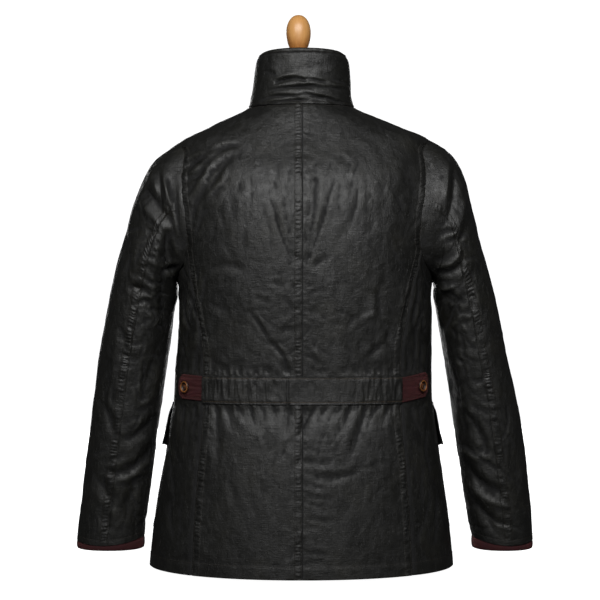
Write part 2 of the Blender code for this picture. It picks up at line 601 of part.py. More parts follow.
def add_side(side, made, parent):
    """The side-back panel, whose top edge is the lower part of the armhole."""
    join = float(armhole_level(JOIN_TURN))
    levels = SKIRT_LEVELS + WAIST_LEVELS + [UNDERARM_LEVEL, join]
    edges = back_edges(levels, side)
    tops = [float(armhole_level(turn)) for turn in SIDE_TURNS]
    top_arounds = [float(armhole_around(turn, side)) for turn in SIDE_TURNS]
    base = WAIST_LEVELS[-1]
    around, level = [], []
    share = (np.array(top_arounds) - top_arounds[0]) / (top_arounds[-1] - top_arounds[0])
    for row_level, edge in zip(levels, edges):
        first = float(degrees_at(edge, row_level, side, 1))
        last = float(degrees_at_depth(SIDE_SEAM_Y, row_level, side))
        even = np.linspace(0, 1, len(SIDE_TURNS))
        rise = max(0.0, (row_level - base) / (join - base))
        place = even + (share - even) * rise
        around.append(first + (last - first) * place)
        level.append([row_level if rise == 0 else base + (top - base) * rise for top in tops])
    around = np.array(around)
    around[-1] = top_arounds
    add_panel("side_" + side, around, np.array(level), made, parent)


# ---- collar -----------------------------------------------------------------------------------
def collar_height(around, rise):
    sine = np.sin(np.radians(around))
    front = np.maximum(0, -sine) ** 2
    s = section(np.array(NECK))
    base = NECK - float(s["drop"]) * front - float(s["lean"]) * np.cos(np.radians(around)) + 0.0007
    top = COLLAR_TOP + (COLLAR_TOP_FRONT - COLLAR_TOP) * front
    return base + (top - base) * rise


def plain_collar(around, rise):
    cosine = np.cos(np.radians(around))
    sine = np.sin(np.radians(around))
    half = np.where(cosine >= 0, column(COLLAR, "left", "rise", rise), column(COLLAR, "right", "rise", rise))
    depth = np.where(sine >= 0, column(COLLAR, "back", "rise", rise), column(COLLAR, "front", "rise", rise))
    x = half * signed_power(cosine, 2 / COLLAR_SQUARE)
    y = depth * signed_power(sine, 2 / COLLAR_SQUARE)
    return stack(x, y, collar_height(around, rise))


COLLAR_STEPS = (0.05, 0.002)


def collar(around, rise):
    around, rise = np.broadcast_arrays(np.asarray(around, float), np.asarray(rise, float))
    point = plain_collar(around, rise)
    height = np.zeros(around.shape)
    for level, reach, bow, width, depth in COLLAR_CREASES:
        t = (around - 90) / reach
        line = level + bow * t * t
        fade = np.clip(1 - t * t, 0, 1)
        height = height - depth * fade * np.exp(-((point[..., 2] - line) / width) ** 2)
    return point + outward(plain_collar, around, rise, COLLAR_STEPS) * height[..., None]


def add_collar(made, parent):
    around = np.linspace(-90 + COLLAR_GAP, 270 - COLLAR_GAP, 27)
    rise = np.array([0.0, 0.22, 0.41, 0.55, 0.78, 1.0])
    around, rise = np.meshgrid(around, rise)
    outer = collar(around, rise)
    inner = outer - outward(plain_collar, around, rise, COLLAR_STEPS) * CLOTH
    inner[0, :, 2] = outer[0, :, 2]
    add_wall("collar", outer, inner, made, parent)


# ---- sleeves ----------------------------------------------------------------------------------
def sleeve_ring(turn, ring, side):
    """A ring of the sleeve at a whole step; step 0 is the armhole."""
    way = 1 if side == "left" else -1
    row = SLEEVE[ring]
    cosine = np.cos(np.radians(turn))
    sine = np.sin(np.radians(turn))
    reach = signed_power(cosine, 2 / SLEEVE_SQUARE)
    out_x, in_x = (row.left_out, row.left_in) if way > 0 else (row.right_out, row.right_in)
    lean = SLEEVE_LEAN * max(0.0, 1 - ring / 3.0)
    x = (out_x + in_x) / 2 + (out_x - in_x) / 2 * reach
    z = (row.out_z + row.in_z) / 2 + (row.out_z - row.in_z) / 2 * reach - way * lean * np.maximum(0, cosine)
    depth = np.where(sine >= 0, row.back, row.front)
    y = row.middle + depth * signed_power(sine, 2 / SLEEVE_SQUARE)
    if ring == len(SLEEVE) - 1:
        z = z - SLEEVE_DIP * np.maximum(0, sine) ** 2
    return stack(way * x, y, z)


def armhole_start(turn, side):
    """The sleeve's edge, just outside the armhole."""
    point = plain_body(armhole_around(turn, side), armhole_level(np.mod(turn, 360)))
    toward = unit(sleeve_ring(turn, 0, side) - point)
    return point + toward * ARMHOLE_GAP


def plain_sleeve(turn, step, side):
    turn, step = np.broadcast_arrays(np.asarray(turn, float), np.asarray(step, float))
    rings = [armhole_start(turn, side)] + [sleeve_ring(turn, k, side) for k in range(len(SLEEVE))]
    rings = np.stack(rings)
    count = len(rings)
    low = np.clip(np.floor(step).astype(int), 0, count - 2)
    t = np.clip(step - low, 0, 1)[..., None]

    def pick(index):
        index = np.clip(index, 0, count - 1)
        return np.take_along_axis(rings, index[None, ..., None], axis=0)[0]

    before, first, second, after = (pick(low + k) for k in (-1, 0, 1, 2))
    slope_first = np.where(low[..., None] == 0, second - first, (second - before) / 2)
    slope_second = np.where(low[..., None] >= count - 2, second - first, (after - first) / 2)
    return ((2 * t ** 3 - 3 * t ** 2 + 1) * first + (t ** 3 - 2 * t ** 2 + t) * slope_first
            + (3 * t ** 2 - 2 * t ** 3) * second + (t ** 3 - t ** 2) * slope_second)


SLEEVE_NORMAL_STEPS = (0.2, 0.01)


def sleeve(turn, step, side):
    """The outer face of a sleeve, with its creases."""
    turn, step = np.broadcast_arrays(np.asarray(turn, float), np.asarray(step, float))
    height = np.zeros(turn.shape)
    wrapped = np.mod(turn + 40, 360) - 40
    for crease in (LEFT_CREASES if side == "left" else RIGHT_CREASES):
        run_a = (crease.turn1 - crease.turn0) * TURN_LENGTH
        run_b = (crease.step1 - crease.step0) * STEP_LENGTH
        a = (wrapped - crease.turn0) * TURN_LENGTH
        b = (step - crease.step0) * STEP_LENGTH
        length = math.hypot(run_a, run_b)
        along = (a * run_a + b * run_b) / length ** 2
        across = (a * run_b - b * run_a) / length
        height = height + trough(across, along, crease.width, crease.depth)
    height = height * ramp(step, 0.1, 1.2) * (1 - 0.7 * ramp(step, 12.2, 13.0))
    return plain_sleeve(turn, step, side) + sleeve_normal(turn, step, side) * height[..., None]


def sleeve_normal(turn, step, side):
    way = -1 if side == "left" else 1
    return outward(lambda a, b: plain_sleeve(a, b, side), turn, step, SLEEVE_NORMAL_STEPS, way)


def add_sleeve_piece(name, turns, side, made, parent):
    turn, step = np.meshgrid(np.array(turns, float), np.array(SLEEVE_STEPS))
    outer = sleeve(turn, step, side)
    inner = seam_inset(outer - sleeve_normal(turn, step, side) * CLOTH)
    add_wall(name, seam_inset(outer), inner, made, parent)


def add_sleeve(side, made, parent):
    upper = [turn - 360 for turn in TURNS if 270 <= turn < 360] + [turn for turn in TURNS if turn <= 90]
    under = [turn for turn in TURNS if 90 <= turn <= 270]
    add_sleeve_piece("sleeve_upper_" + side, upper, side, made, parent)
    add_sleeve_piece("sleeve_under_" + side, under, side, made, parent)


def add_cuff(side, made, parent):
    """The needlecord band inside the sleeve's end, which shows below it."""
    turn = np.array([t for t in TURNS if t < 360], float)
    hem = sleeve(turn, np.full(turn.shape, 13.0), side)
    inward = -sleeve_normal(turn, np.full(turn.shape, 12.9), side)
    inward[:, 2] = 0
    inward = unit(inward)
    hidden = sleeve(turn, np.full(turn.shape, CUFF_TOP_STEP), side)
    deep = inward * (CLOTH + LIE)
    turned_in = hem + deep
    turned_in[:, 2] = hem[:, 2] - SEAM
    lip = hem + inward * CLOTH * 0.35
    lip[:, 2] = hem[:, 2] - CORD
    low = lip + inward * 0.0003
    low[:, 2] = CUFF_LOW
    rows = np.stack([hidden + deep * 1.15, turned_in, lip, low])
    inner = rows + inward * CORD
    add_wall("cuff_" + side, rows, inner, made, parent, closed=True)


# ---- pieces on the body -----------------------------------------------------------------------
def add_band(made, parent):
    """The waist band; its wall follows the ruching that the elastic makes."""
    x = np.linspace(-BAND_END, BAND_END, 49)
    level = np.array([BAND_LOW + 0.0003, BAND_HIGH - 0.0003])
    middle = (BAND_LOW + BAND_HIGH) / 2
    around = np.where(x >= 0, degrees_at(x, middle, "left", 1), degrees_at(x, middle, "right", 1))
    around, level = np.meshgrid(around, level)
    flat = np.exp(-((x - BAND_FLAT_MIDDLE) / BAND_FLAT_HALF) ** 6)
    ruche = (1 - 0.85 * flat) * (0.5 + 0.5 * np.sin(2 * np.pi * x / RUCHE_PITCH)) * RUCHE_HEIGHT
    add_laid("waist_band", around, level, LIE + 0.8 * ruche, CLOTH + 0.2 * ruche, made, parent)


def arc_places(start, distances, level, side):
    """Places around the side at distances along the cloth from a start, towards the front."""
    first = float(degrees_at(start, level, side, 1))
    way = -1 if side == "left" else 1
    fine = first + way * np.linspace(0, 70, 400)
    points = plain_body(fine, np.full(fine.shape, level))
    run = np.concatenate([[0], np.cumsum(np.linalg.norm(np.diff(points, axis=0), axis=1))])
    return np.interp(distances, run, fine)


def tab_half(distance, length):
    """Half the tab's width: straight edges, then a blunt round end."""
    t = np.clip((distance - length) / TAB_BLUNT + 1, 0, 1)
    return TAB_WIDTH / 2 * np.sqrt(1 - 0.84 * t ** 2.4)


def add_tab(side, made, parent):
    tab = TABS[side]
    near_end = [tab.length - TAB_BLUNT * back for back in (0.6, 0.3, 0.1, 0.0)]
    distance = np.concatenate([np.linspace(0, tab.length - TAB_BLUNT, 5), near_end])
    across = np.linspace(-1, 1, 5)
    distance, across = np.meshgrid(distance, across)
    level = tab.middle + tab.slope * distance + across * tab_half(distance, tab.length)
    around = arc_places(tab.start, distance, tab.middle, side)
    add_laid("tab_" + side, around, level, TAB_LIE, CORD, made, parent)


def face_frame(point, normal, lift):
    """Where a turned piece sits on a face, and the turn that stands it on that face."""
    way = Vector([float(value) for value in normal])
    start = Vector([float(value) for value in point])
    return start + way * lift, Vector((0, 0, 1)).rotation_difference(way)


def add_tab_button(side, made, parent):
    tab = TABS[side]
    around = arc_places(tab.start, np.array([tab.button]), tab.middle, side)
    level = np.array([tab.middle + tab.slope * tab.button])
    point = body(around, level)[0]
    normal = body_normal(around, level)[0]
    place, tilt = face_frame(point, normal, TAB_LIE + CORD + TRIM_LIE)
    r, t = BUTTON_RADIUS, BUTTON_THICK
    profile = [(0, 0), (r * 0.75, 0), (r, t * 0.5), (r * 0.93, t * 0.92), (r * 0.76, t),
               (r * 0.60, t * 0.55), (0, t * 0.5)]
    add_lathe("tab_button_" + side, profile, 18, place, made, parent, tilt)


def stud_profile():
    r, t = STUD_RADIUS, STUD_THICK
    return [(0, 0), (r * 0.95, 0), (r, t * 0.3), (r * 0.86, t * 0.8), (r * 0.5, t), (0, t * 0.96)]


def pocket_depth(u, v):
    """How far a pocket stands off the front at a fraction across and up."""
    puff = np.clip(np.sin(np.pi * u) * np.sin(np.pi * v), 0, 1) ** 0.5
    return LIE + POCKET_PUFF * puff


def pocket_around(u, side):
    return mirror(POCKET_AROUND[0] + (POCKET_AROUND[1] - POCKET_AROUND[0]) * u, side)


def add_pocket(side, made, parent):
    u, v = np.meshgrid(np.linspace(0, 1, 8), np.linspace(0, 1, 6))
    level = POCKET_LOW + (POCKET_HIGH - POCKET_LOW) * v
    add_laid("pocket_" + side, pocket_around(u, side), level, pocket_depth(u, v), CLOTH, made, parent)


def flap_depth(u, v):
    """The flap leaves the front above the pocket, clears it and kicks out at its lower edge."""
    level = FLAP_HIGH + (FLAP_LOW - FLAP_HIGH) * v
    pocket_v = np.clip((level - POCKET_LOW) / (POCKET_HIGH - POCKET_LOW), 0, 1)
    over = ramp(v, 0.02, 0.26)
    clear = LIE + over * (pocket_depth(np.clip(u, 0.0, 1.0), pocket_v) + CLOTH + LIE)
    return clear + FLAP_KICK * v ** 2


def flap_around(u, side):
    """Flaps reach a little past their pockets on both sides."""
    return mirror(POCKET_AROUND[0] + 2.5 + (POCKET_AROUND[1] - POCKET_AROUND[0] - 4.0) * u, side)


def flap_level(u, v):
    return FLAP_HIGH + (FLAP_LOW - FLAP_HIGH) * v - FLAP_POINT * np.sin(np.pi * u) ** 2 * v


def add_flap(side, made, parent):
    u, v = np.meshgrid(np.linspace(0, 1, 8), np.array([0.0, 0.13, 0.28, 0.60, 1.0]))
    around, level = flap_around(u, side), flap_level(u, v)
    add_laid("pocket_flap_" + side, around, level, flap_depth(u, v), CLOTH, made, parent)


def add_flap_stud(side, made, parent):
    u, v = FLAP_STUD
    around = np.array([flap_around(u, side)])
    level = np.array([flap_level(u, v)])
    normal = body_normal(around, level)[0]
    depth = float(flap_depth(u, v)) + CLOTH + TRIM_LIE
    place, tilt = face_frame(body(around, level)[0], normal, depth)
    add_lathe("pocket_stud_" + side, stud_profile(), 10, place, made, parent, tilt)


def add_fly(made, parent):
    levels = front_levels()
    levels[0] = HEM + 0.003
    levels[-1] = NECK - 0.003
    x = np.linspace(-FLY_HALF, FLY_HALF, 5)
    rows = []
    for level in levels:
        left = degrees_at(x, level, "left", -1)
        right = degrees_at(x, level, "right", -1)
        rows.append(np.where(x >= 0, left, right - 360 * (right > 270)))
    around = np.array(rows)
    around = np.where(around > 180, around - 360, around)
    level = np.broadcast_to(np.array(levels)[:, None], around.shape)
    add_laid("front_fly", around, level, FLY_LIE, CLOTH, made, parent)


def add_fly_studs(made, parent):
    for number, height in enumerate(FLY_STUDS, start=1):
        around, level = np.array([-90.0]), np.array([height])
        normal = body_normal(around, level)[0]
        place, tilt = face_frame(body(around, level)[0], normal, FLY_LIE + CLOTH + TRIM_LIE)
        add_lathe("fly_stud_%d" % number, stud_profile(), 10, place, made, parent, tilt)


# ---- the dress form ---------------------------------------------------------------------------
def torso_ring(level, sides):
    row = {field: float(column(TORSO, field, "level", level)) for field in Torso._fields[1:]}
    angle = np.linspace(0, 2 * np.pi, sides, endpoint=False)
    cosine, sine = np.cos(angle), np.sin(angle)
    depth = np.where(sine >= 0, row["back"], row["front"])
    x = row["half"] * signed_power(cosine, 2 / row["square"])
    y = depth * signed_power(sine, 2 / row["square"])
    return stack(x, y, level - row["drop"] * np.maximum(0, -sine) ** 2)


def add_torso(made, parent):
    levels = sorted(row.level for row in TORSO)
    rings = [torso_ring(float(level), TORSO_SIDES) for level in levels]
    vertices = np.concatenate(rings)
    count = TORSO_SIDES
    faces = []
    for i in range(len(rings) - 1):
        for j in range(count):
            k = (j + 1) % count
            faces.append([i * count + j, i * count + k, (i + 1) * count + k, (i + 1) * count + j])
    faces.append(list(range(count)))
    faces.append([(len(rings) - 1) * count + j for j in range(count)])
    add_object("form_body", vertices, faces, made, parent, crease_angle=60)


def add_neck_cap(made, parent):
    top = torso_ring(TORSO[-1].level, TORSO_SIDES)
    rows = [(0.985, CAP_LOW), (1.0, CAP_LOW + 0.0015), (1.0, CAP_HIGH - 0.004), (0.93, CAP_HIGH - 0.001),
            (0.84, CAP_HIGH)]
    vertices, faces = [], []
    for scale, height in rows:
        vertices += [(x * scale, y * scale, height) for x, y, _ in top]
    count = TORSO_SIDES
    for i in range(len(rows) - 1):
        for j in range(count):
            k = (j + 1) % count
            faces.append([i * count + j, i * count + k, (i + 1) * count + k, (i + 1) * count + j])
    faces.append(list(range(count)))
    faces.append([(len(rows) - 1) * count + j for j in range(count)])
    add_object("form_neck_cap", vertices, faces, made, parent)


def knob_profile():
    """An egg on a short flared stem."""
    profile = [(0, KNOB_LOW), (KNOB_STEM * 1.5, KNOB_LOW), (KNOB_STEM * 1.15, KNOB_LOW + 0.004)]
    low = KNOB_LOW + 0.010
    for k in range(1, 10):
        angle = math.pi * k / 10
        height = low + (KNOB_TOP - low) * (1 - math.cos(angle)) / 2
        swell = math.sin(angle) ** 0.9
        lift = (height - low) / (KNOB_TOP - low)
        radius = KNOB_RADIUS * swell * (0.86 + 0.30 * lift - 0.12 * lift * lift) / 0.995
        profile.append((max(radius, KNOB_STEM * 0.97 if k < 4 else radius), height))
    return profile + [(0, KNOB_TOP)]


def add_base(made, parent):
    sides, vertices, faces = BASE_SIDES, [], []
    rows = [(1.0, 0.0), (1.0, BASE_HEIGHT - 0.004), (0.975, BASE_HEIGHT)]
    for scale, height in rows:
        for k in range(sides):
            angle = 2 * math.pi * k / sides
            x = BASE_HALF[0] * scale * math.cos(angle)
            vertices.append((x, BASE_MIDDLE_Y + BASE_HALF[1] * scale * math.sin(angle), height))
    for i in range(len(rows) - 1):
        for j in range(sides):
            k = (j + 1) % sides
            faces.append([i * sides + j, i * sides + k, (i + 1) * sides + k, (i + 1) * sides + j])
    faces.append(list(range(sides)))
    faces.append([(len(rows) - 1) * sides + j for j in range(sides)])
    add_object("form_base", vertices, faces, made, parent)


# ---- the whole object -------------------------------------------------------------------------
def main():
    for old in list(bpy.data.objects):
        bpy.data.objects.remove(old, do_unlink=True)
    stand = bpy.data.objects.new("jacket_on_form", None)
    stand.location = (MIDDLE_X, MIDDLE_Y, 0.0)
    bpy.context.scene.collection.objects.link(stand)

    waxed = material("waxed_cotton", (0.028, 0.028, 0.028), 0.42)
    cord = material("burgundy_needlecord", (0.045, 0.010, 0.012), 0.85)
    horn = material("dark_horn", (0.060, 0.028, 0.012), 0.30)
    brass = material("aged_brass", (0.45, 0.30, 0.12), 0.35, 1.0)
    jersey = material("black_jersey", (0.015, 0.015, 0.016), 0.90)
    beech = material("varnished_beech", (0.52, 0.27, 0.10), 0.35)

    for side in ("left", "right"):
        add_back(side, waxed, stand)
        add_side(side, waxed, stand)
        add_front(side, waxed, stand)
        add_sleeve(side, waxed, stand)
        add_cuff(side, cord, stand)
        add_tab(side, cord, stand)
        add_tab_button(side, horn, stand)
        add_pocket(side, waxed, stand)
        add_flap(side, waxed, stand)
        add_flap_stud(side, brass, stand)
    add_collar(waxed, stand)
    add_band(waxed, stand)
    add_fly(waxed, stand)
    add_fly_studs(brass, stand)
    add_torso(jersey, stand)
    add_neck_cap(beech, stand)
    add_lathe("form_knob", knob_profile(), 18, (KNOB_X, 0.0, 0.0), beech, stand)
    add_base(beech, stand)


main()
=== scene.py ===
"""The looks of a waxed cotton jacket on a limbless dress form.

Metres, +Z up. The wearer faces -Y, so the wearer's left is +X and the jacket's back faces +Y. The cloth
is made on the same surfaces as the frame's solids: on the body a place is (around, level), with around in
degrees, 0 at the wearer's left side and 90 at the centre back, and level a height. On a sleeve a place is
(turn, step), with turn 0 on the outer line, 90 at the back and step 1 to 13 from the armhole to the end.
"""
import math
import random
from collections import namedtuple
from functools import partial

import bmesh
import bpy
import numpy as np
from bpy.props import FloatProperty, PointerProperty, StringProperty
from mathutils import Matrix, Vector


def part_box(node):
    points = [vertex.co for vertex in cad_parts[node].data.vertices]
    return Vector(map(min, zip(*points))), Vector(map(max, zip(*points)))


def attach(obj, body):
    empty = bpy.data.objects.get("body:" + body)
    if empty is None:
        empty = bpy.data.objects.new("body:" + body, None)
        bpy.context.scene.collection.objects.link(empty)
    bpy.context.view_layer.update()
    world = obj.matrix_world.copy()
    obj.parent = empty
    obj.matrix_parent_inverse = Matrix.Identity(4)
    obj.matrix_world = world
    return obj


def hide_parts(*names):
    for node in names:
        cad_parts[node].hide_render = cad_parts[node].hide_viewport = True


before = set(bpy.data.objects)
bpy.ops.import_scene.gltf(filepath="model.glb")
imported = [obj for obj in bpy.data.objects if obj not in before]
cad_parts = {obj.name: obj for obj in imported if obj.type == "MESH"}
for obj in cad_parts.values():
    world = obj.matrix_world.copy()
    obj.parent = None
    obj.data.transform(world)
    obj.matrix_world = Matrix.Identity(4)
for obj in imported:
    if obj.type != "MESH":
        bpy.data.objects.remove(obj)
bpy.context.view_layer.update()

bl_info = {
    "name": "Waxed Cotton Jacket",
    "version": (1, 0, 0),
    "blender": (4, 5, 0),
    "location": "View3D > Sidebar > Jacket",
    "description": "Builds the cloth, trim and form of a waxed cotton jacket, and a plain studio",
    "category": "Object",
}

ROOT = "root"
SIDES = ("left", "right")


def table(kind, rows, plain=""):
    """Rows of a table, written in millimetres but for the columns named in plain."""
    plain = plain.split()
    return [kind(*(value if name in plain else value / 1000 for name, value in zip(kind._fields, row)))
            for row in rows]


# ---- sizes that the solids share, in metres ----
SEAM = 0.0002           # gap between two pieces at a seam
LIE = 0.0007            # gap under a piece that lies on another
HEM = 0.010
NECK = 0.758
TIP = 0.7062            # shoulder tip, where the armhole starts
UNDERARM = 0.476
SIDE_SEAM_Y = -0.012
SEAM_BEND = 0.450       # above this the side-back seam bends to the armhole
BAND_LOW = 0.2797
BAND_HIGH = 0.3235
BAND_MIDDLE = (BAND_LOW + BAND_HIGH) / 2
BAND_END = 0.1565
MIDDLE = np.array([0.0048, -0.0006, 0.0])

Section = namedtuple("Section", "level left right back front drop lean square")
# half widths, depths, how far the front falls, how far the right side is higher
SECTIONS = table(Section, [
    (10, 250.5, 248.5, 153, 148, 0, 0, 2.08), (60, 245.5, 244, 151.5, 146, 0, 0, 2.12),
    (116, 236.5, 236, 149, 143, 0, 0, 2.2), (195, 222.5, 224.5, 144.5, 138, 0, 0, 2.35),
    (245, 216, 218, 139.5, 134, 0, 0, 2.4), (277, 211, 214, 133, 130, 0, 0, 2.45),
    (321, 208.5, 213, 131.5, 128, 0, 0, 2.5), (360, 205.5, 213, 133.5, 130, 0, 0, 2.5),
    (446, 203, 213, 139, 138, 0, 0, 2.5), (505, 206, 214, 141, 140, 0, 0.5, 2.5),
    (560, 211, 216.5, 141, 136, 4, 1, 2.5), (610, 212.5, 218, 137, 130, 12, 1.5, 2.48),
    (650, 211.5, 217, 124, 120, 24, 2, 2.42), (680, 207, 213, 108, 111, 34, 2.5, 2.35),
    (706.2, 198, 204.6, 94, 105, 43, 2.5, 2.3), (723.5, 163, 163, 86, 102, 50, 2.5, 2.25),
    (736.7, 136, 132.5, 80, 100, 55, 2, 2.2), (749.9, 104.3, 101, 73.5, 97, 59, 1, 2.15),
    (758, 88, 86, 69, 95, 62, 0.5, 2.15),
], "square")

Loop = namedtuple("Loop", "turn y")
# turn 0 at the shoulder tip, 90 at the back, 180 under the arm, 270 at the front
ARMHOLE = table(Loop, [
    (-36, -47), (0, 0), (18, 30), (36, 50), (54, 61.5), (72, 73.5), (90, 83.5), (108, 87), (126, 83.5),
    (144, 66), (162, 30), (180, -12), (198, -50), (216, -74.5), (234, -85), (252, -88), (270, -85),
    (288, -78), (306, -66), (324, -47), (342, -24), (360, 0), (378, 30),
], "turn")
JOIN_TURN = 126         # where the side-back seam runs into the armhole

Seam = namedtuple("Seam", "level x")
SIDE_BACK_SEAM = table(Seam, [
    (10, 173.6), (80, 171), (180, 164), (240, 158), (277, 156.5), (321, 156.5), (371, 158), (410, 165),
    (459, 174.5), (523, 183),
])

Ring = namedtuple("Ring", "out_z in_z left_out left_in right_out right_in back front middle")
# outer and inner point of each ring, its depth behind and before its middle
SLEEVE = table(Ring, [
    (690.5, 468, 221.1, 207.2, 232.5, 217.8, 83.5, 85, 0),
    (670.7, 461, 244.2, 206.6, 253, 217.8, 82.5, 84, 0),
    (644.3, 456, 259.1, 206.2, 265.7, 217.8, 80.5, 81, -1),
    (604.7, 450.5, 275.6, 206, 277.2, 217.6, 77.5, 77, -2),
    (551.9, 444, 290.4, 206.6, 290.4, 218.2, 74, 72, -3),
    (485.9, 426.5, 309, 210.4, 309, 221.8, 70, 68, -5), (420, 387, 322.5, 215.8, 325, 228.5, 66.5, 64, -8),
    (353.5, 340, 335, 223.1, 338.3, 236.4, 63, 60, -12),
    (286.9, 280.3, 343.9, 232, 354, 246.4, 60, 57, -16),
    (220.1, 217, 352.6, 241.5, 366.3, 254.9, 57, 54.5, -20),
    (152.9, 153, 362, 249.5, 375, 265.5, 53.5, 52, -25),
    (85.5, 87.5, 370.5, 259.2, 382.2, 276, 49.5, 49, -30),
    (45.2, 51, 375.5, 263.2, 385, 283.5, 47, 47, -32),
])
SLEEVE_SQUARE = 2.15
SLEEVE_LEAN = 0.0022
SLEEVE_DIP = 0.008
SLEEVE_END = 13.0
ARMHOLE_GAP = 0.0002
SLEEVE_ROUND = 0.205     # around one half of the sleeve, near its top

Stand = namedtuple("Stand", "rise left right back front")
# from the neck seam to the top edge
COLLAR = table(Stand, [
    (0, 88, 86, 69, 95), (0.2, 84.2, 81.5, 68.5, 92.5), (0.4, 81, 80.5, 68, 90.5),
    (0.7, 77.6, 79, 67.5, 88), (1, 73.5, 75.2, 67, 86),
], "rise")
COLLAR_TOP = 0.848
COLLAR_TOP_FRONT = 0.806
COLLAR_SQUARE = 2.15
COLLAR_GAP = 1.2

Torso = namedtuple("Torso", "level half back front drop square")
# the dress form, clear of the cloth
TORSO = table(Torso, [
    (18.6, 166, 112, 106, 0, 2.2), (80, 174, 120, 110, 0, 2.2), (170, 172, 118, 106, 0, 2.2),
    (240, 154, 102, 96, 0, 2.2), (300, 142, 92, 92, 0, 2.2), (370, 148, 98, 100, 0, 2.2),
    (450, 164, 112, 114, 0, 2.3), (540, 176, 118, 112, 4, 2.4), (610, 178, 115, 105, 12, 2.4),
    (660, 175, 100, 96, 26, 2.3), (688, 164, 86, 90, 36, 2.2), (704, 144, 78, 86, 43, 2.2),
    (722, 111, 70, 82, 50, 2.1), (738, 85, 63, 77, 50, 2.1), (758, 65, 54, 63, 38, 2),
    (790, 56, 49, 53, 14, 2), (822, 55, 49, 51, 0, 2),
], "square")

TAB_WIDTH = 0.0382
TAB_LIE = 0.0011
TAB_BLUNT = 0.016
Tab = namedtuple("Tab", "start length middle slope button")
TABS = {"left": Tab(BAND_END + 0.0006, 0.0550, 0.3032, 0.04, 0.0330),
        "right": Tab(BAND_END + 0.0006, 0.0610, 0.3008, 0.14, 0.0395)}

POCKET_AROUND = (-3.0, -56.0)
POCKET_LOW = 0.068
POCKET_HIGH = 0.262
POCKET_PUFF = 0.0045
FLAP_LOW = 0.203
FLAP_HIGH = 0.2745
FLAP_KICK = 0.0044
FLAP_POINT = 0.010
FLY_HALF = 0.030
FLY_LIE = 0.0010
CUFF_LOW = 0.0315
CUFF_TOP_STEP = 12.4
RUCHE_HEIGHT = 0.00238
BAND_FLAT_MIDDLE = -0.028
BAND_FLAT_HALF = 0.055
HEM_STITCH = 0.0200
SLEEVE_STITCH = 0.009
COLLAR_STITCH = 0.0072
TAB_STITCH = 0.0035
WIDE_STRIP = 0.0145      # the felled band of the seams on the back and the sleeves
FORM_SIDES = 96
FRAME_WIDTH = 0.99       # what the camera sees across, at the jacket
CAMERA_HEIGHT = 0.443

# ---- folds and creases, listed one by one ----
Fold = namedtuple("Fold", "x0 z0 x1 z1 bow width depth")
# the main troughs of the back, seen from behind; a negative depth is a ridge
BACK_FOLDS = table(Fold, [
    (34, 650, 20, 505, 10, 11, 3), (-20, 640, -8, 565, 4, 11, 4.2), (-50, 625, -30, 545, 6, 11, 3),
    (-158, 630, -168, 545, 4, 14, 4.2), (146, 622, 152, 545, -6, 18, 3.5), (196, 655, 160, 678, 0, 10, 2.8),
    (158, 630, 124, 678, 0, 12, 2.8), (145, 488, 86, 488, 8, 8.5, 6.4), (82, 405, 24, 330, 0, 9, 2),
    (-12, 368, -40, 338, 0, 10, -2.2), (-120, 480, -142, 368, 6, 15, 4.2),
    (-80, 420, -82, 345, 10, 13, 3.4), (-128, 376, -108, 345, 0, 11, 2.8),
    (-8, 206, -66, 205, -12, 12, 1.8), (-6, 184, -98, 182, -16, 14, 1.6), (205, 235, 212, 60, 4, 20, 5),
    (-190, 260, -196, 150, 4, 18, 4.5),
])
Field = namedtuple("Field", "x_low x_high z_low z_high count lean spread length depth")
# small creases strewn over the back: lean from upright and its spread in degrees
BACK_FIELDS = table(Field, [
    (120, 192, 610, 680, 20, 52, 16, 55, 1.2), (10, 150, 530, 660, 24, 2, 12, 80, 0.5),
    (-140, -6, 520, 660, 26, 10, 13, 75, 0.6), (-190, -140, 500, 660, 16, -18, 18, 55, 0.8),
    (135, 185, 480, 600, 16, 22, 16, 50, 0.8), (-150, 150, 400, 520, 44, 72, 30, 45, 0.5),
    (-150, 150, 350, 430, 32, -30, 45, 32, 0.7), (-30, 35, 360, 540, 18, 50, 25, 30, 0.8),
    (-165, 170, 180, 310, 44, 0, 16, 55, 0.8), (-200, 200, 30, 200, 40, 0, 16, 80, 0.4),
    (-135, -4, 170, 260, 12, 86, 10, 60, 0.4), (165, 215, 60, 280, 14, -4, 8, 90, 1.8),
    (-215, -165, 60, 280, 14, 4, 8, 90, 1.8), (162, 206, 330, 500, 20, 2, 8, 70, 3.6),
    (-210, -162, 330, 500, 20, 6, 10, 70, 3.6),
], "count lean spread")
FRONT_FIELDS = table(Field, [
    (-180, 180, 400, 680, 60, 0, 45, 40, 0.9), (-200, 200, 30, 400, 60, 0, 30, 45, 0.8),
], "count lean spread")
SLEEVE_FIELDS = {
    "left": table(Field, [
        (224, 272, 400, 560, 30, 78, 20, 22, 1.3), (238, 300, 240, 410, 26, 70, 28, 24, 1),
        (228, 290, 300, 640, 22, 8, 14, 50, 1), (262, 335, 50, 330, 22, 8, 14, 50, 0.9),
        (250, 335, 50, 240, 20, 62, 22, 34, 1.1),
    ], "count lean spread"),
    "right": table(Field, [
        (-275, -224, 400, 560, 30, -72, 24, 22, 1.4), (-305, -238, 240, 410, 26, -66, 30, 24, 1.1),
        (-290, -226, 300, 640, 22, -10, 14, 50, 1), (-345, -262, 50, 330, 22, -10, 14, 50, 0.9),
        (-350, -260, 50, 240, 22, -58, 20, 36, 1.3),
    ], "count lean spread"),
}
FRONT_FOLDS = table(Fold, [
    (140, 620, 120, 540, 6, 16, 3.5), (-135, 615, -115, 530, -6, 16, 3.5), (150, 460, 80, 400, 8, 14, 3.2),
    (-150, 450, -85, 385, -8, 14, 3.2), (105, 345, 60, 300, 0, 14, 3), (-110, 350, -60, 305, 0, 14, 3),
    (50, 200, 56, 40, 4, 16, 3.5), (-50, 190, -60, 45, -4, 16, 3.5),
])
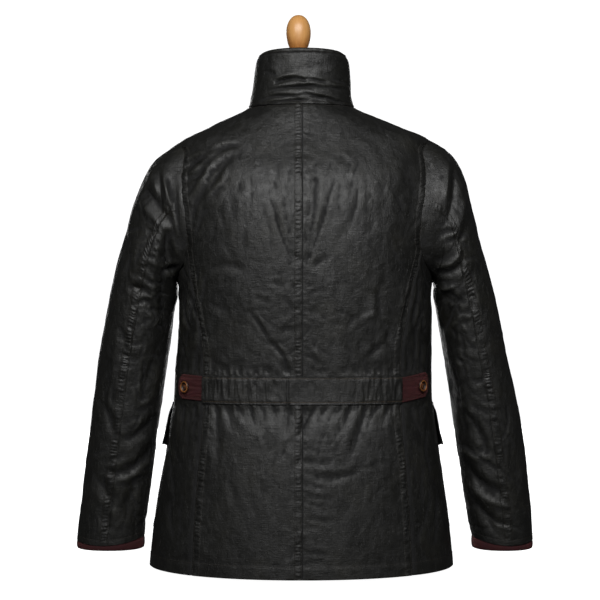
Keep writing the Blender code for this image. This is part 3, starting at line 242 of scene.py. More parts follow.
# sharper creases of the back, on top of its folds
BACK_CREASES = table(Fold, [
    (34, 690, 46, 610, 3, 5, 1.2), (47, 602, 11, 494, -4, 4.2, 2.4), (80, 643, 80, 585, 2, 5, 1.3),
    (94, 643, 96, 599, -2, 5, 1.1), (115, 628, 113, 560, 3, 6, 1.2), (66, 600, 46, 540, 0, 5, 1.2),
    (130, 585, 124, 520, 4, 6.5, 1.4), (-23, 658, -6, 498, 3, 4.4, 2.6), (-12, 600, -4, 520, 0, 3.6, 1.4),
    (-49, 642, -30, 560, 1, 4, 1.8), (-37, 592, -2, 490, 3, 4, 2.2), (-59, 635, -60, 563, -2, 5.5, 1.4),
    (-78, 640, -82, 570, 3, 5.5, 1.2), (-100, 625, -104, 565, 0, 6, 1.1),
    (-122, 640, -126, 585, 3, 5.5, 1.2), (-52, 672, -86, 640, 4, 6, 1.1), (-164, 663, -181, 593, 2, 8, 2.4),
    (-150, 612, -160, 545, 2, 6, 2), (-172, 566, -160, 540, 0, 5, 1.6), (170, 594, 141, 644, 0, 6, 5.6),
    (193, 651, 152, 673, 3, 4.6, 8.6), (184, 634, 152, 652, -2, 4.2, 5.6), (152, 630, 118, 671, 2, 4.6, 7),
    (143, 628, 108, 675, 1, 4.2, 4.4), (172, 636, 156, 656, 0, 3.8, 4.4), (148, 617, 131, 644, 1, 4.4, 4.4),
    (142, 682, 98, 690, 1, 4.2, 5), (168, 560, 140, 590, 3, 6, 2.6), (166, 528, 150, 545, 0, 5, 1.4),
    (20.5, 521, 2, 502, 0, 4.2, 2), (26, 540, 6, 512, 1, 4, 1.4), (-3, 490, -47, 509, 2, 5, 1.2),
    (-3, 502, -30, 524, 1, 4.2, 1), (75, 448, 49, 438, 0, 4.5, 1.4), (30, 448, 11, 423, 0, 4.5, 1.6),
    (52, 470, 24, 462, 2, 4.5, 1.4), (129, 457, 128, 416, 2, 10, 2), (116, 426, 158, 445, 2, 6, 1.8),
    (82, 424, 50, 377, 1, 3.6, 2.6), (48, 376, 27, 350, 1, 3.6, 3.4), (28, 354, 22, 326, 0, 3.6, 3.2),
    (56, 374.5, 30, 376, 0, 4.2, 1.8), (40, 396, 10, 392, 2, 5, 1.2), (145, 352, 125, 330, 0, 5.5, 1.8),
    (-12, 372, -36, 345, 0, 4.5, -1.8), (-8, 360, -28, 338, 0, 4, 1.6), (-82.5, 421, -69, 395, 0, 5, 2.2),
    (-69, 400, -81, 345, -2, 5.5, 2.6), (-90, 408, -123, 423, 2, 5, -1.6),
    (-122, 470, -127, 405, -3, 6, 2.4), (-128, 410, -146, 366, 2, 6, 2.6),
    (-102, 350, -132, 376, 2, 5, 2.4), (-100, 460, -102, 425, 0, 6, 1), (116, 167, 103, 115, 2, 6, 1.5),
    (152, 200, 165, 150, 2, 6, 1.4), (134, 225, 146, 170, 4, 6, 1.4), (70, 170, 62, 130, 2, 6, 1),
    (90, 110, 84, 60, 2, 7, 1), (-4, 197, -50, 192, -5, 5, 1.6), (-4, 176, -92, 178, -9, 5.5, 2.8),
    (-4, 168, -60, 164, -4, 4.5, 1.6), (-4, 158, -40, 152, -2, 4.2, 1.4), (-4, 140, -48, 136, -3, 4.2, 1.2),
    (-4, 128, -34, 122, 0, 4, 1.3), (-4, 106, -52, 100, -2, 4.5, 1.6), (-4, 92, -30, 90, 0, 4, 1.3),
    (-4, 50, -44, 46, 2, 4.5, 1.5), (-4, 40, -36, 36, 0, 4, 1.4), (12, 60, 22, 36, 0, 4.5, 1.6),
    (-188, 205, -196, 145, 3, 7, -2), (-150, 205, -156, 110, 3, 7, 1.6), (-216, 140, -210, 50, 3, 8, 1.8),
])
FRONT_CREASES = table(Fold, [
    (128, 600, 110, 548, 2, 6, 2), (100, 640, 80, 590, 2, 6, 1.4), (-126, 610, -108, 552, -2, 6, 2),
    (-95, 645, -75, 600, 2, 6, 1.4), (140, 452, 94, 410, 3, 5.5, 2.2), (-142, 446, -92, 396, -3, 5.5, 2.2),
    (150, 505, 112, 490, 2, 5.5, 1.6), (-150, 498, -108, 480, 2, 5.5, 1.6), (120, 368, 80, 330, 0, 5.5, 2),
    (-122, 372, -76, 328, 0, 5.5, 2), (90, 180, 96, 60, 3, 7, 1.4), (-88, 176, -94, 64, 3, 7, 1.4),
])
# seen from behind, as the back's are
SLEEVE_FOLDS_BEHIND = {
    "left": table(Fold, [
        (225.7, 648, 192.2, 516, 3, 3.4, -4), (204, 662, 192.5, 526, 0, 10, 12),
        (278, 510, 218, 504, 0, 32, -6), (230, 650, 225, 590, 0, 6, 4), (205, 565, 252, 622, 2, 9.5, 8.5),
        (238, 638, 232, 612, 0, 4, -2), (218.5, 488, 214, 556, 1, 8, 8), (208, 545, 196, 508, 1, 4, -2.6),
        (227, 487, 188, 499, 0, 4.5, 7.5), (222.5, 390, 223.5, 486, 0, 8.5, 6),
        (234, 542, 229, 530, 1, 3.2, 1.6), (240, 525, 233, 518, 1, 3.2, 1.6),
        (252, 560, 235, 548, -1, 3.4, 1.4), (264, 498, 256, 522, 2, 4.5, 2.2),
        (249, 476, 238, 464, 1.5, 3.4, 2.4), (258, 446, 237, 413, 5, 5, 3.6),
        (280, 463, 244, 452, 4, 6, 3.2), (286, 486, 268, 520, 3, 8, 2.4), (297, 402, 295, 346, 9, 7, 2.6),
        (222, 392, 258, 277, -4, 8, 2.2), (236, 350, 262, 262, -3, 6, 1.8), (318, 352, 326, 270, 3, 8, 1.8),
        (332, 280, 305, 214, 6, 7, 2.8), (288, 214, 240, 256, -7, 7.5, 4.4),
        (264, 255, 244, 270, 0, 6, 1.8), (314, 160, 244, 208, -16, 8, 3.4),
        (314, 148, 243, 196, -15, 6.5, -3.6), (342, 156, 309, 98, 6, 8, 3.2),
        (258, 172, 289, 80, -4, 10, 3.6), (330, 110, 318, 64, 3, 7, 2.2), (276, 96, 268, 58, 2, 7, 2),
    ]),
    "right": table(Fold, [
        (-246, 652, -222, 552, 8, 10, 5.4), (-246, 645, -222, 523, 22, 8, -3),
        (-234, 668, -228, 600, 2, 6, -3), (-214, 546, -248, 552, 2, 4.5, 4.4),
        (-222, 530, -252, 540, 3, 5, 2.6), (-214, 497, -255, 525, -10, 6, -3.4),
        (-216, 486, -262, 508, -8, 6, 3.6), (-218, 462, -248, 463, -2, 6, -3.2),
        (-222, 448, -250, 446, 3, 5.5, 3), (-235, 395, -265, 455, 6, 6, 4.2),
        (-236, 385, -262, 420, 4, 5, -2.2), (-268, 467, -277, 427, 1, 4.5, 2.6),
        (-284, 560, -296, 480, 3, 9, 2.2), (-232, 368, -247, 258, 3, 7, 2.6),
        (-246, 340, -258, 270, 2, 6, 2), (-241, 304, -269, 218, 3, 7, 3.2),
        (-264, 262, -304, 187, 4, 7, 3.4), (-262, 196, -306, 184, -4, 6, -2.8),
        (-262, 182, -336, 126, -12, 8, 4.4), (-274, 143, -345, 104, -9, 6, -3.4),
        (-268, 132, -336, 72, -9, 7, 3.8), (-326, 300, -338, 230, 3, 8, 2),
        (-345, 190, -352, 120, 3, 8, 2.2), (-300, 86, -318, 56, 2, 6, 2.2),
    ]),
}
SLEEVE_FOLDS_BEFORE = {
    "left": table(Fold, [
        (240, 620, 214, 520, -6, 9, 3.6), (216, 500, 262, 470, 6, 7, 4.4), (222, 440, 276, 420, 8, 8, 4.4),
        (228, 390, 290, 372, 10, 8, 4), (250, 330, 300, 318, 8, 8, 2.6), (262, 250, 318, 236, 10, 8, 3),
        (262, 150, 330, 130, 8, 8, 3), (285, 600, 270, 520, 4, 12, -3),
    ]),
    "right": table(Fold, [
        (-244, 620, -222, 520, 6, 9, 3.6), (-222, 500, -268, 472, 6, 7, 4.4),
        (-230, 440, -284, 424, 8, 8, 4.4), (-236, 386, -300, 366, 10, 8, 4),
        (-258, 320, -312, 310, 8, 8, 2.6), (-270, 240, -330, 226, 10, 8, 3),
        (-280, 140, -345, 122, 8, 8, 3), (-288, 590, -276, 520, 4, 12, -3),
    ]),
}

Gather = namedtuple("Gather", "x drift reach depth")
# gathers that fall from the band: place, drift sideways, length, depth
GATHERS_UNDER = table(Gather, [
    (134, 0, 85, 3.4), (117, -8, 45, 3.2), (100, -12, 30, 2.6), (83, -14, 45, 3.4), (62, -6, 30, 2.4),
    (42, -4, 30, 2.2), (20, 4, 52, 3.6), (-6, 8, 55, 3.4), (-22, 40, 70, 3.6), (-40, 20, 30, 2.4),
    (-60, 8, 28, 2.2), (-77, 20, 50, 3.6), (-102, 30, 95, 3.8), (-120, 20, 40, 3), (-138, 14, 36, 2.6),
    (171, 2, 50, 3), (189, 6, 75, 3.4), (-176, -3, 45, 2.4),
])
# gathers that rise from the band
GATHERS_OVER = table(Gather, [
    (140, 4, 40, 2.4), (120, -4, 22, 2.2), (98, 4, 26, 2.2), (72, 2, 18, 2), (50, 10, 20, 2.2),
    (22, 6, 28, 3), (-30, 4, 14, 1.6), (-68, 4, 16, 2), (-86, 6, 24, 3), (-106, 12, 30, 3.2),
    (-126, 10, 24, 2.6), (-146, 4, 30, 2.4), (170, 4, 60, 2.8), (187, 2, 80, 2.8), (-170, -2, 70, 2.8),
    (-190, -2, 60, 2.6),
])
GATHER_WIDTH = 0.0056
SHARP, ROUND = 1.25, 2  # how blunt a trough is at its bottom

# over the back of the collar, seen from behind
COLLAR_FOLDS = table(Fold, [
    (45, 792.5, 4, 799, 1.5, 3.2, 4.6), (8, 799.5, -6.5, 793, 1, 2.6, 3.6),
    (-1.5, 797.5, -54.5, 785, 3, 2.6, 1.9), (58, 779, -74, 779, 7, 2.8, 2.6),
    (38, 783, -20, 785, 1, 2.2, 1.4), (4, 774.5, -74, 757, 3, 2.6, 2.2), (48, 766, -60, 761, 6, 2.6, 2.2),
    (62, 756, -5, 764, 2, 2.6, 1.9), (70, 764, 10, 772, 2, 2.4, 1.6), (-10, 769, -78, 760, 3, 2.4, 1.6),
    (65, 760, -70, 758.5, 5, 3, 1.8), (60, 833, 20, 825, 2, 6, 0.9), (-5, 824, -50, 820, -2, 7, 0.9),
    (30, 812, -25, 816, 2, 6, 0.8), (-30, 808, -60, 796, 1, 5, 1.4), (62, 815, 42, 802, 0, 5, 1.4),
])
COLLAR_FIELDS = table(Field, [
    (-78, 78, 757, 792, 26, 90, 8, 45, 1),
], "count lean spread")


# ---- the settings that a user would change ----
class ClothSettings(bpy.types.PropertyGroup):
    """The waxed cotton: its wall, how it is crumpled and how it shines."""

    wall: FloatProperty(
        name="Wall", description="Thickness of the waxed cotton", default=0.0016, unit="LENGTH")
    mesh_step: FloatProperty(
        name="Mesh Step", description="Distance between the points of the cloth", default=0.0024,
        unit="LENGTH")
    crumple: FloatProperty(
        name="Crumple", description="Depth of the small creases all over the cloth", default=0.0008,
        unit="LENGTH")
    pucker: FloatProperty(
        name="Pucker", description="Height of the puckers along the seams", default=0.0016, unit="LENGTH")
    stitch: FloatProperty(
        name="Stitch", description="Length of a topstitch with its gap", default=0.0032, unit="LENGTH")
    color: StringProperty(
        name="Wax Colour", description="Colour of the waxed cotton in the light", default="#141412")
    rub: StringProperty(
        name="Rubbed Colour", description="Colour where the wax has cracked and rubbed", default="#34342f")
    roughness: FloatProperty(
        name="Roughness", description="Roughness of the wax", default=0.46, subtype="FACTOR", min=0, max=1)


class TrimSettings(bpy.types.PropertyGroup):
    """The needlecord, the threads, the buttons and the studs."""

    wall: FloatProperty(name="Wall", description="Thickness of the needlecord", default=0.0018, unit="LENGTH")
    wale: FloatProperty(
        name="Wale", description="Distance between two ribs of the needlecord", default=0.0014, unit="LENGTH")
    cord_color: StringProperty(
        name="Needlecord Colour", description="Colour of the pile in the light", default="#431b1e")
    thread_color: StringProperty(
        name="Thread Colour", description="Colour of the topstitching", default="#2b261f")
    edge_thread_color: StringProperty(
        name="Edge Thread Colour", description="Colour of the band's stitching", default="#5b4a35")
    brass_color: StringProperty(name="Brass Colour", description="Colour of the studs", default="#b08a4a")


class StageSettings(bpy.types.PropertyGroup):
    """The floor, the lights and the camera."""

    floor_color: StringProperty(
        name="Floor Colour", description="Colour of the floor and backdrop", default="#f4f4f4")
    key_power: FloatProperty(
        name="Key Light", description="Power of the soft light above the camera", default=80.0, unit="POWER")
    fill_power: FloatProperty(
        name="Fill Light", description="Power of the soft light beside the camera", default=7.0, unit="POWER")
    chest_power: FloatProperty(
        name="Chest Light", description="Power of the soft light on the far side", default=36.0, unit="POWER")
    room: FloatProperty(
        name="Room Light", description="Strength of the light from all round", default=0.035)
    distance: FloatProperty(
        name="Camera Distance", description="How far behind the jacket the camera stands", default=2.4,
        unit="LENGTH")


def settings():
    """The settings of the cloth, of the trim and of the stage."""
    scene = bpy.context.scene
    return scene.jacket_cloth, scene.jacket_trim, scene.jacket_stage


# ---- small tools ----
def cubic(t, first, second, slope_first, slope_second):
    """A cubic from one value to the next with a slope at each."""
    return ((2 * t ** 3 - 3 * t ** 2 + 1) * first + (t ** 3 - 2 * t ** 2 + t) * slope_first
            + (3 * t ** 2 - 2 * t ** 3) * second + (t ** 3 - t ** 2) * slope_second)


def column(rows, field, at, key="level"):
    """One column of a table, by a cubic between its rows and flat outside its ends."""
    knots, values = (np.array([getattr(row, name) for row in rows], float) for name in (key, field))
    at = np.asarray(at, float)
    slopes = np.gradient(values, knots)
    low = np.clip(np.searchsorted(knots, at) - 1, 0, len(knots) - 2)
    span = knots[low + 1] - knots[low]
    t = np.clip((at - knots[low]) / span, 0.0, 1.0)
    return cubic(t, values[low], values[low + 1], span * slopes[low], span * slopes[low + 1])


def turned(degrees):
    """The cosine and the sine of an angle in degrees."""
    angle = np.radians(degrees)
    return np.cos(angle), np.sin(angle)


def signed_power(value, power):
    """A power of the size of a value, with the value's sign."""
    return np.sign(value) * np.abs(value) ** power


def ramp(value, low, high):
    """0 below low, 1 above high and smooth between."""
    t = np.clip((value - low) / (high - low), 0.0, 1.0)
    return t * t * (3 - 2 * t)


def bell(value, width):
    """1 at 0, falling off smoothly on both sides over a width."""
    return np.exp(-(value / width) ** 2)


def stack(x, y, z):
    """Points from coordinates of any matching shapes."""
    return np.stack(np.broadcast_arrays(x, y, z), axis=-1)


def unit(vectors):
    """Vectors brought to length 1."""
    return vectors / np.maximum(np.linalg.norm(vectors, axis=-1, keepdims=True), 1e-12)


def outward(surface, a, b, steps, way=1):
    """The surface's unit normal; way turns it out where the surface is mirrored."""
    along_a = surface(a + steps[0], b) - surface(a - steps[0], b)
    along_b = surface(a, b + steps[1]) - surface(a, b - steps[1])
    return unit(np.cross(along_a, along_b)) * way


def hashed(cell, seed):
    """A number from -1 to 1 for each whole-number cell, the same each time."""
    mask = np.int64(0xFFFFFFFF)
    x, y, z = (cell[..., k].astype(np.int64) for k in range(3))
    n = ((x * 73856093) ^ (y * 19349663) ^ (z * 83492791) ^ (seed * 668265263)) & mask
    n = ((n ^ (n >> 13)) * 1274126177) & mask
    n = ((n ^ (n >> 16)) * 374761393) & mask
    return (n ^ (n >> 15)) / 2147483648.0 - 1.0


def noise(seed, x, y, z):
    """Smooth noise from about -1 to 1, with a feature for each unit of length."""
    points = stack(x, y, z)
    cell = np.floor(points).astype(np.int64)
    part = points - cell
    fade = part ** 3 * (part * (part * 6 - 15) + 10)
    total = 0.0
    for corner in range(8):
        step = np.array([corner & 1, corner >> 1 & 1, corner >> 2 & 1])
        pull = sum(hashed(cell + step, seed + 7 * k) * (part[..., k] - step[k]) for k in range(3))
        total = total + pull * np.prod(np.where(step == 1, fade, 1 - fade), axis=-1)
    return total * 1.6


def crumpled(points, size, seed):
    """Flat facets between sharp valleys and ridges, as a stiff waxed cloth breaks."""
    x, y, z = np.moveaxis(points / size, -1, 0)
    warp = [noise(seed + more, x * 0.5, y * 0.5, z * 0.5) for more in (31, 57, 83)]
    x, y, z = (value + bend * 0.45 for value, bend in zip((x, y, z), warp))
    return np.abs(noise(seed, x, y, z)) - 0.75 * np.abs(
        noise(seed + 101, x * 1.37 + 4.7, y * 1.37 + 4.7, z * 1.37 + 4.7))


def crumples(point, stretch, rows):
    """The sum of some crumpled layers, each a (size, seed, share), over points stretched along the axes."""
    spread = point * np.array(stretch)
    return settings()[0].crumple * sum(share * crumpled(spread, size, seed) for size, seed, share in rows)


def small_folds(folds, x, z, blunt):
    """The sum of a table of folds, with troughs as blunt as asked for at their bottoms."""
    total = np.zeros(np.broadcast(x, z).shape)
    for fold in folds:
        run_x, run_z = fold.x1 - fold.x0, fold.z1 - fold.z0
        length = math.hypot(run_x, run_z)
        along = ((x - fold.x0) * run_x + (z - fold.z0) * run_z) / length ** 2
        across = ((x - fold.x0) * run_z - (z - fold.z0) * run_x) / length
        across = across - fold.bow * 4 * along * (1 - along)
        fade = np.where((along < 0) | (along > 1), 0.0, np.clip(1 - (2 * along - 1) ** 2, 0, 1) ** 0.7)
        q = across / fold.width
        if blunt == ROUND:
            shape = (1 - 0.45 * q * q) * np.exp(-q * q)
        else:
            shape = np.exp(-np.abs(q) ** blunt) - 0.42 * bell(q - 1.9, 0.9) - 0.14 * bell(q + 2.0, 0.9)
        total = total - fold.depth * fade * shape
    return total


def strewn(fields, seed):
    """Small folds thrown over the fields of a table, the same ones each time."""
    dice = random.Random(seed)
    found = []
    for field in fields:
        for _ in range(field.count):
            x, z = dice.uniform(field.x_low, field.x_high), dice.uniform(field.z_low, field.z_high)
            lean = math.radians(dice.gauss(field.lean, field.spread))
            half = field.length * dice.uniform(0.25, 0.65) * dice.choice((1, -1))
            run_x, run_z = -math.sin(lean) * half, math.cos(lean) * half
            bow = abs(half) * dice.uniform(-0.25, 0.25)
            width, depth = dice.uniform(0.0022, 0.0038), field.depth * dice.uniform(0.4, 1.2)
            found.append(Fold(x - run_x, z - run_z, x + run_x, z + run_z, bow, width, depth))
    return found


def gather_height(x, level):
    """The gathers on both sides of the waist band."""
    total = np.zeros(np.broadcast(x, level).shape)
    for gathers, edge, way in ((GATHERS_UNDER, BAND_LOW, -1), (GATHERS_OVER, BAND_HIGH, 1)):
        away = way * (level - edge)
        for gather in gathers:
            t = away / gather.reach
            inside = np.clip(t, 0, 1)
            fade = np.where(t > 0, ramp(away, 0.0, 0.010) * np.clip(1 - t, 0, 1) ** 0.8, 0.0)
            q = (x - gather.x - gather.drift * inside) / (GATHER_WIDTH * (1 + 0.8 * inside))
            shape = 1.25 * np.exp(-np.abs(q) ** 1.4) - 0.25 * bell(q - 1.7, 0.9)
            total = total - gather.depth * fade * shape
    return total


def fine_gathers(x, level):
    """The small close pleats that the elastic makes right at the band's edges."""
    away = np.minimum(np.abs(level - BAND_LOW), np.abs(level - BAND_HIGH))
    under = level < BAND_MIDDLE
    reach = np.where(under, 0.016, 0.010) * (1 + 0.5 * noise(11, x / 0.010, under * 3.0, 0.5))
    pleats = noise(12, x / 0.0052, under * 5.0, away / 0.03)
    flat = 1 - 0.75 * np.exp(-((x - BAND_FLAT_MIDDLE) / 0.040) ** 4)
    return 0.0022 * pleats * flat * np.exp(-(away / reach) ** 2)


def from_band(level):
    """How far a level is from the middle of the waist band."""
    return np.abs(level - BAND_MIDDLE)


# ---- the body surface ----
def section(level):
    """The sizes of the body at a level."""
    return {field: column(SECTIONS, field, level) for field in Section._fields[1:]}


def oval(around, square, height, left, right, back, front):
    """A ring with its own half width on each side and its own depth behind and before."""
    cosine, sine = turned(around)
    half, depth = np.where(cosine >= 0, left, right), np.where(sine >= 0, back, front)
    return stack(half * signed_power(cosine, 2 / square), depth * signed_power(sine, 2 / square), height)


def plain_body(around, level):
    """The body without its folds."""
    s = section(level)
    cosine, sine = turned(around)
    height = level - s["drop"] * np.maximum(0, -sine) ** 2 - s["lean"] * cosine
    return oval(around, s["square"], height, s["left"], s["right"], s["back"], s["front"])


def body_way(around, level):
    """The way out of the body; folds don't turn it, so a wall never crosses itself."""
    return outward(plain_body, around, level, (0.05, 0.0003))


def body_height(point, level):
    """How far the cloth stands off the plain body: folds, gathers, creases and crumples."""
    x, z = point[..., 0], point[..., 2]
    behind = point[..., 1] > 0
    off_band = from_band(level)
    calm = ramp(off_band, 0.020, 0.032)

    def both(back, front, blunt):
        return np.where(behind, small_folds(back, x, z, blunt), small_folds(front, x, z, blunt))

    creases = (both(BACK_CREASES, FRONT_CREASES, SHARP)
               + both(strewn(BACK_FIELDS, 11), strewn(FRONT_FIELDS, 12), SHARP))
    folds = 0.25 * both(BACK_FOLDS, FRONT_FOLDS, ROUND) + 0.58 * creases
    folds = folds * calm * (1 - ramp(level, 0.690, 0.706))
    gathers = np.where(behind, gather_height(x, level), 0.5 * gather_height(-x, level))
    fine = np.where(behind, fine_gathers(x, level), 0) * ramp(off_band, 0.0225, 0.0245)
    small = calm * crumples(point, (1.0, 1.0, 0.45), ((0.030, 3, 1), (0.014, 4, 0.55)))
    return (folds + gathers + fine + small) * ramp(level, HEM - 0.002, HEM + 0.030)


def body_out(around, level, distance):
    """Points at a distance, one for all or one for each, outside the cloth of the body."""
    around, level = np.broadcast_arrays(np.asarray(around, float), np.asarray(level, float))
    point = plain_body(around, level)
    height = body_height(point, level) + np.broadcast_to(distance, around.shape)
    return point + body_way(around, level) * height[..., None]


def mirror(angle, side):
    """Turns an angle from the left side line into a place around the body."""
    return angle if side == "left" else 180 - angle


def degrees_at(x, level, side, face):
    """The place around the body of a point at a distance x from the middle, on one face."""
    s = section(level)
    ratio = np.clip(np.abs(x) / s[side], 0, 1)
    return mirror(np.degrees(np.arccos(ratio ** (s["square"] / 2))) * face, side)


def degrees_at_depth(y, level, side):
    """The place around the body of a point at a depth y, by its side seam."""
    s = section(level)
    ratio = np.clip(np.abs(y) / np.where(y >= 0, s["back"], s["front"]), 0, 1)
    return mirror(np.sign(y) * np.degrees(np.arcsin(ratio ** (s["square"] / 2))), side)


# ---- the armhole and the sleeves ----
def armhole_level(turn):
    """The height of the armhole at a turn."""
    return (TIP + UNDERARM) / 2 + (TIP - UNDERARM) / 2 * turned(turn)[0]


def armhole_around(turn, side):
    """The place around the body of the armhole at a turn."""
    turn = np.mod(np.asarray(turn, float), 360)
    return degrees_at_depth(column(ARMHOLE, "y", turn, "turn"), armhole_level(turn), side)


def armhole_x(level, side, face):
    """How far from the middle the armhole runs at a level, on the back (face 1) or the front (face -1)."""
    cosine = np.clip((level - (TIP + UNDERARM) / 2) / ((TIP - UNDERARM) / 2), -1, 1)
    turn = np.degrees(np.arccos(cosine))
    around = armhole_around(turn if face > 0 else 360 - turn, side)
    return abs(float(plain_body(around, level)[0]))


def sleeve_ring(turn, ring, side):
    """Points on one ring of the sleeve's table."""
    way = 1 if side == "left" else -1
    row = SLEEVE[ring]
    cosine, sine = turned(turn)
    reach = signed_power(cosine, 2 / SLEEVE_SQUARE)
    out_x, in_x = (row.left_out, row.left_in) if way > 0 else (row.right_out, row.right_in)
    lean = SLEEVE_LEAN * max(0.0, 1 - ring / 3.0)
    x = (out_x + in_x) / 2 + (out_x - in_x) / 2 * reach
    z = (row.out_z + row.in_z) / 2 + (row.out_z - row.in_z) / 2 * reach - way * lean * np.maximum(0, cosine)
    y = row.middle + np.where(sine >= 0, row.back, row.front) * signed_power(sine, 2 / SLEEVE_SQUARE)
    if ring == len(SLEEVE) - 1:
        z = z - SLEEVE_DIP * np.maximum(0, sine) ** 2
    return stack(way * x, y, z)


def plain_sleeve(turn, step, side):
    """The sleeve without its folds: a cubic through its rings, from the armhole to the end."""
    turn, step = np.broadcast_arrays(np.asarray(turn, float), np.asarray(step, float))
    # the sleeve starts just outside the armhole
    start = plain_body(armhole_around(turn, side), armhole_level(np.mod(turn, 360)))
    start = start + unit(sleeve_ring(turn, 0, side) - start) * ARMHOLE_GAP
    rings = np.stack([start] + [sleeve_ring(turn, k, side) for k in range(len(SLEEVE))])
    count = len(rings)
    low = np.clip(np.floor(step).astype(int), 0, count - 2)
    t = np.clip(step - low, 0, 1)[..., None]
    before, first, second, after = (
        np.take_along_axis(rings, np.clip(low + k, 0, count - 1)[None, ..., None], axis=0)[0]
        for k in (-1, 0, 1, 2))
    slope_first = np.where(low[..., None] == 0, second - first, (second - before) / 2)
    slope_second = np.where(low[..., None] >= count - 2, second - first, (after - first) / 2)
    return cubic(t, first, second, slope_first, slope_second)


def sleeve_way(turn, step, side):
    """The way out of the sleeve."""
    way = -1 if side == "left" else 1
    return outward(lambda a, b: plain_sleeve(a, b, side), turn, step, (0.2, 0.01), way)


def sleeve_height(point, turn, step, side):
    """How far the cloth stands off the plain sleeve, calm at both of its ends."""
    sine = turned(turn)[1]
    x, z = point[..., 0], point[..., 2]
    height = (ramp(sine, -0.10, 0.25) * small_folds(SLEEVE_FOLDS_BEHIND[side], x, z, SHARP)
              + ramp(-sine, -0.10, 0.25) * small_folds(SLEEVE_FOLDS_BEFORE[side], x, z, 1.6)
              + small_folds(strewn(SLEEVE_FIELDS[side], 13), x, z, SHARP)
              + crumples(point, (1.0, 1.0, 0.55), ((0.030, 23, 1.1), (0.014, 24, 0.9))))
    return height * ramp(step, 0.1, 1.2) * (1 - 0.7 * ramp(step, 12.2, SLEEVE_END))


# ---- seams ----
def armhole_raise(level):
    """How far the back's armhole seam stands off the body, panel and sleeve alike."""
    return 0.0050 * ramp(level, 0.530, 0.575) * (1 - ramp(level, TIP - 0.090, TIP - 0.015))


def seam_height(away, along, seed, strength=1.0):
    """What a topstitched seam does to the cloth beside it: a dip at the seam and dying puckers."""
    close = noise(seed, (along + 0.35 * away) / 0.0066, away / 0.024, 0.5)
    broad = noise(seed + 1, along / 0.0150, away / 0.034, 7.5)
    reach = 0.015 * (1.2 + 0.8 * noise(seed + 3, along / 0.018, 0.5, 3.5))
    pucker = settings()[0].pucker * strength * (0.40 * close + 0.45 * broad)
    return pucker * np.exp(-(away / reach) ** 2) * ramp(away, 0.0, 0.0030) - 0.0004 * bell(away, 0.0011)


STRIP_WIDTH = 0.0125
STRIP_PLACES = np.array([0.0, 0.8, 1.7, 3.0, 4.4, 5.8, 7.2, 8.6, 9.9, 10.9, 11.8, 12.5]) / 1000


def add_seam_strip(name, outer, way, seed, last=False, strength=1.0, width=STRIP_WIDTH):
    """The felled band of a seam, gathered between its two stitch lines; it lies along a grid's edge."""
    arcs = arc_lengths(outer, 1)
    across = STRIP_PLACES * width / STRIP_WIDTH
    places = arcs[:, -1:] - across if last else across + np.zeros_like(arcs[:, :1])
    spots, ways = (np.array([on_line(line, arcs[i], places[i]) for i, line in enumerate(grid)])
                   for grid in (outer, way))
    run = line_run(spots[:, 4])
    along = np.linspace(0, run[-1], max(4, int(run[-1] / 0.0015)))
    spots, ways = (np.stack([on_line(grid[:, j], run, along) for j in range(len(across))], axis=1)
                   for grid in (spots, ways))
    ways = unit(ways)
    along, away = np.meshgrid(along, across, indexing="ij")
    phase = (along / 0.0064 + 1.6 * noise(seed, along / 0.024, 0.5, 1.5)
             + (0.12 + 0.5 * noise(seed + 4, along / 0.028, 0.5, 4.5)) * away / width
             + 0.30 * noise(seed + 1, along / 0.007, away / 0.008, 2.5))
    tick = (0.5 + 0.5 * np.cos(2 * np.pi * phase)) ** 1.3
    size = np.clip(0.55 + 1.3 * noise(seed + 2, along / 0.026, away / 0.020, 9.5), 0.12, 1.1)
    window = ramp(away, 0.0006, 0.0034) * (1 - ramp(away, width - 0.0040, width - 0.0010))
    height = 0.00030 + settings()[0].pucker * 0.85 * strength * size * tick * window
    height -= 0.0005 * ramp(away, width - 0.0012, width) + 0.0003 * (1 - ramp(away, 0.0, 0.0007))
    height -= 0.0003 * (bell(away - 0.0018, 0.0007) + bell(away - width + 0.0024, 0.0007))
    grid = spots + ways * height[..., None]
    faces = grid_faces(*height.shape)
    if np.dot(np.cross(grid[0, 1] - grid[0, 0], grid[1, 0] - grid[0, 0]), ways[0, 0]) < 0:
        faces = faces[:, ::-1]
    piece = new_object(name, grid.reshape(-1, 3), faces.tolist(), material(WAXED), flip_check=False)
    set_metres(piece, away.ravel(), along.ravel())
    finish_hard(piece, "waxed_cotton")
    return [(grid[:, k] + ways[:, k] * 0.00025, ways[:, k]) for k in (2, 9)]


# ---- mesh building ----
def arc_lengths(points, axis):
    """Distance along each line of a grid from its start."""
    steps = np.linalg.norm(np.diff(points, axis=axis), axis=-1)
    pad = [(0, 0), (0, 0)]
    pad[axis] = (1, 0)
    return np.cumsum(np.pad(steps, pad), axis=axis)


def line_run(points):
    """Distance along one line of points from its start."""
    return arc_lengths(points[None], 1)[0]


def on_line(points, run, places):
    """The points of a line at other distances along it."""
    return np.stack([np.interp(places, run, points[:, k]) for k in range(3)], axis=-1)


def grid_area(points):
    """The area of a grid of points."""
    a = points[1:, 1:] - points[:-1, :-1]
    b = points[1:, :-1] - points[:-1, 1:]
    return float(np.linalg.norm(np.cross(a, b), axis=-1).sum() / 2)


def grid_faces(rows, columns, closed=False):
    """The faces of a grid of points, row by row; a closed one joins its last column to its first."""
    i, j = np.meshgrid(np.arange(rows - 1), np.arange(columns if closed else columns - 1), indexing="ij")
    after = (j + 1) % columns
    return np.stack([i * columns + j, i * columns + after, (i + 1) * columns + after, (i + 1) * columns + j],
                    axis=-1).reshape(-1, 4)


NEAR_SEAM = np.array([0.0, 1.0, 2.2, 4.0, 6.2, 8.6]) / 1000


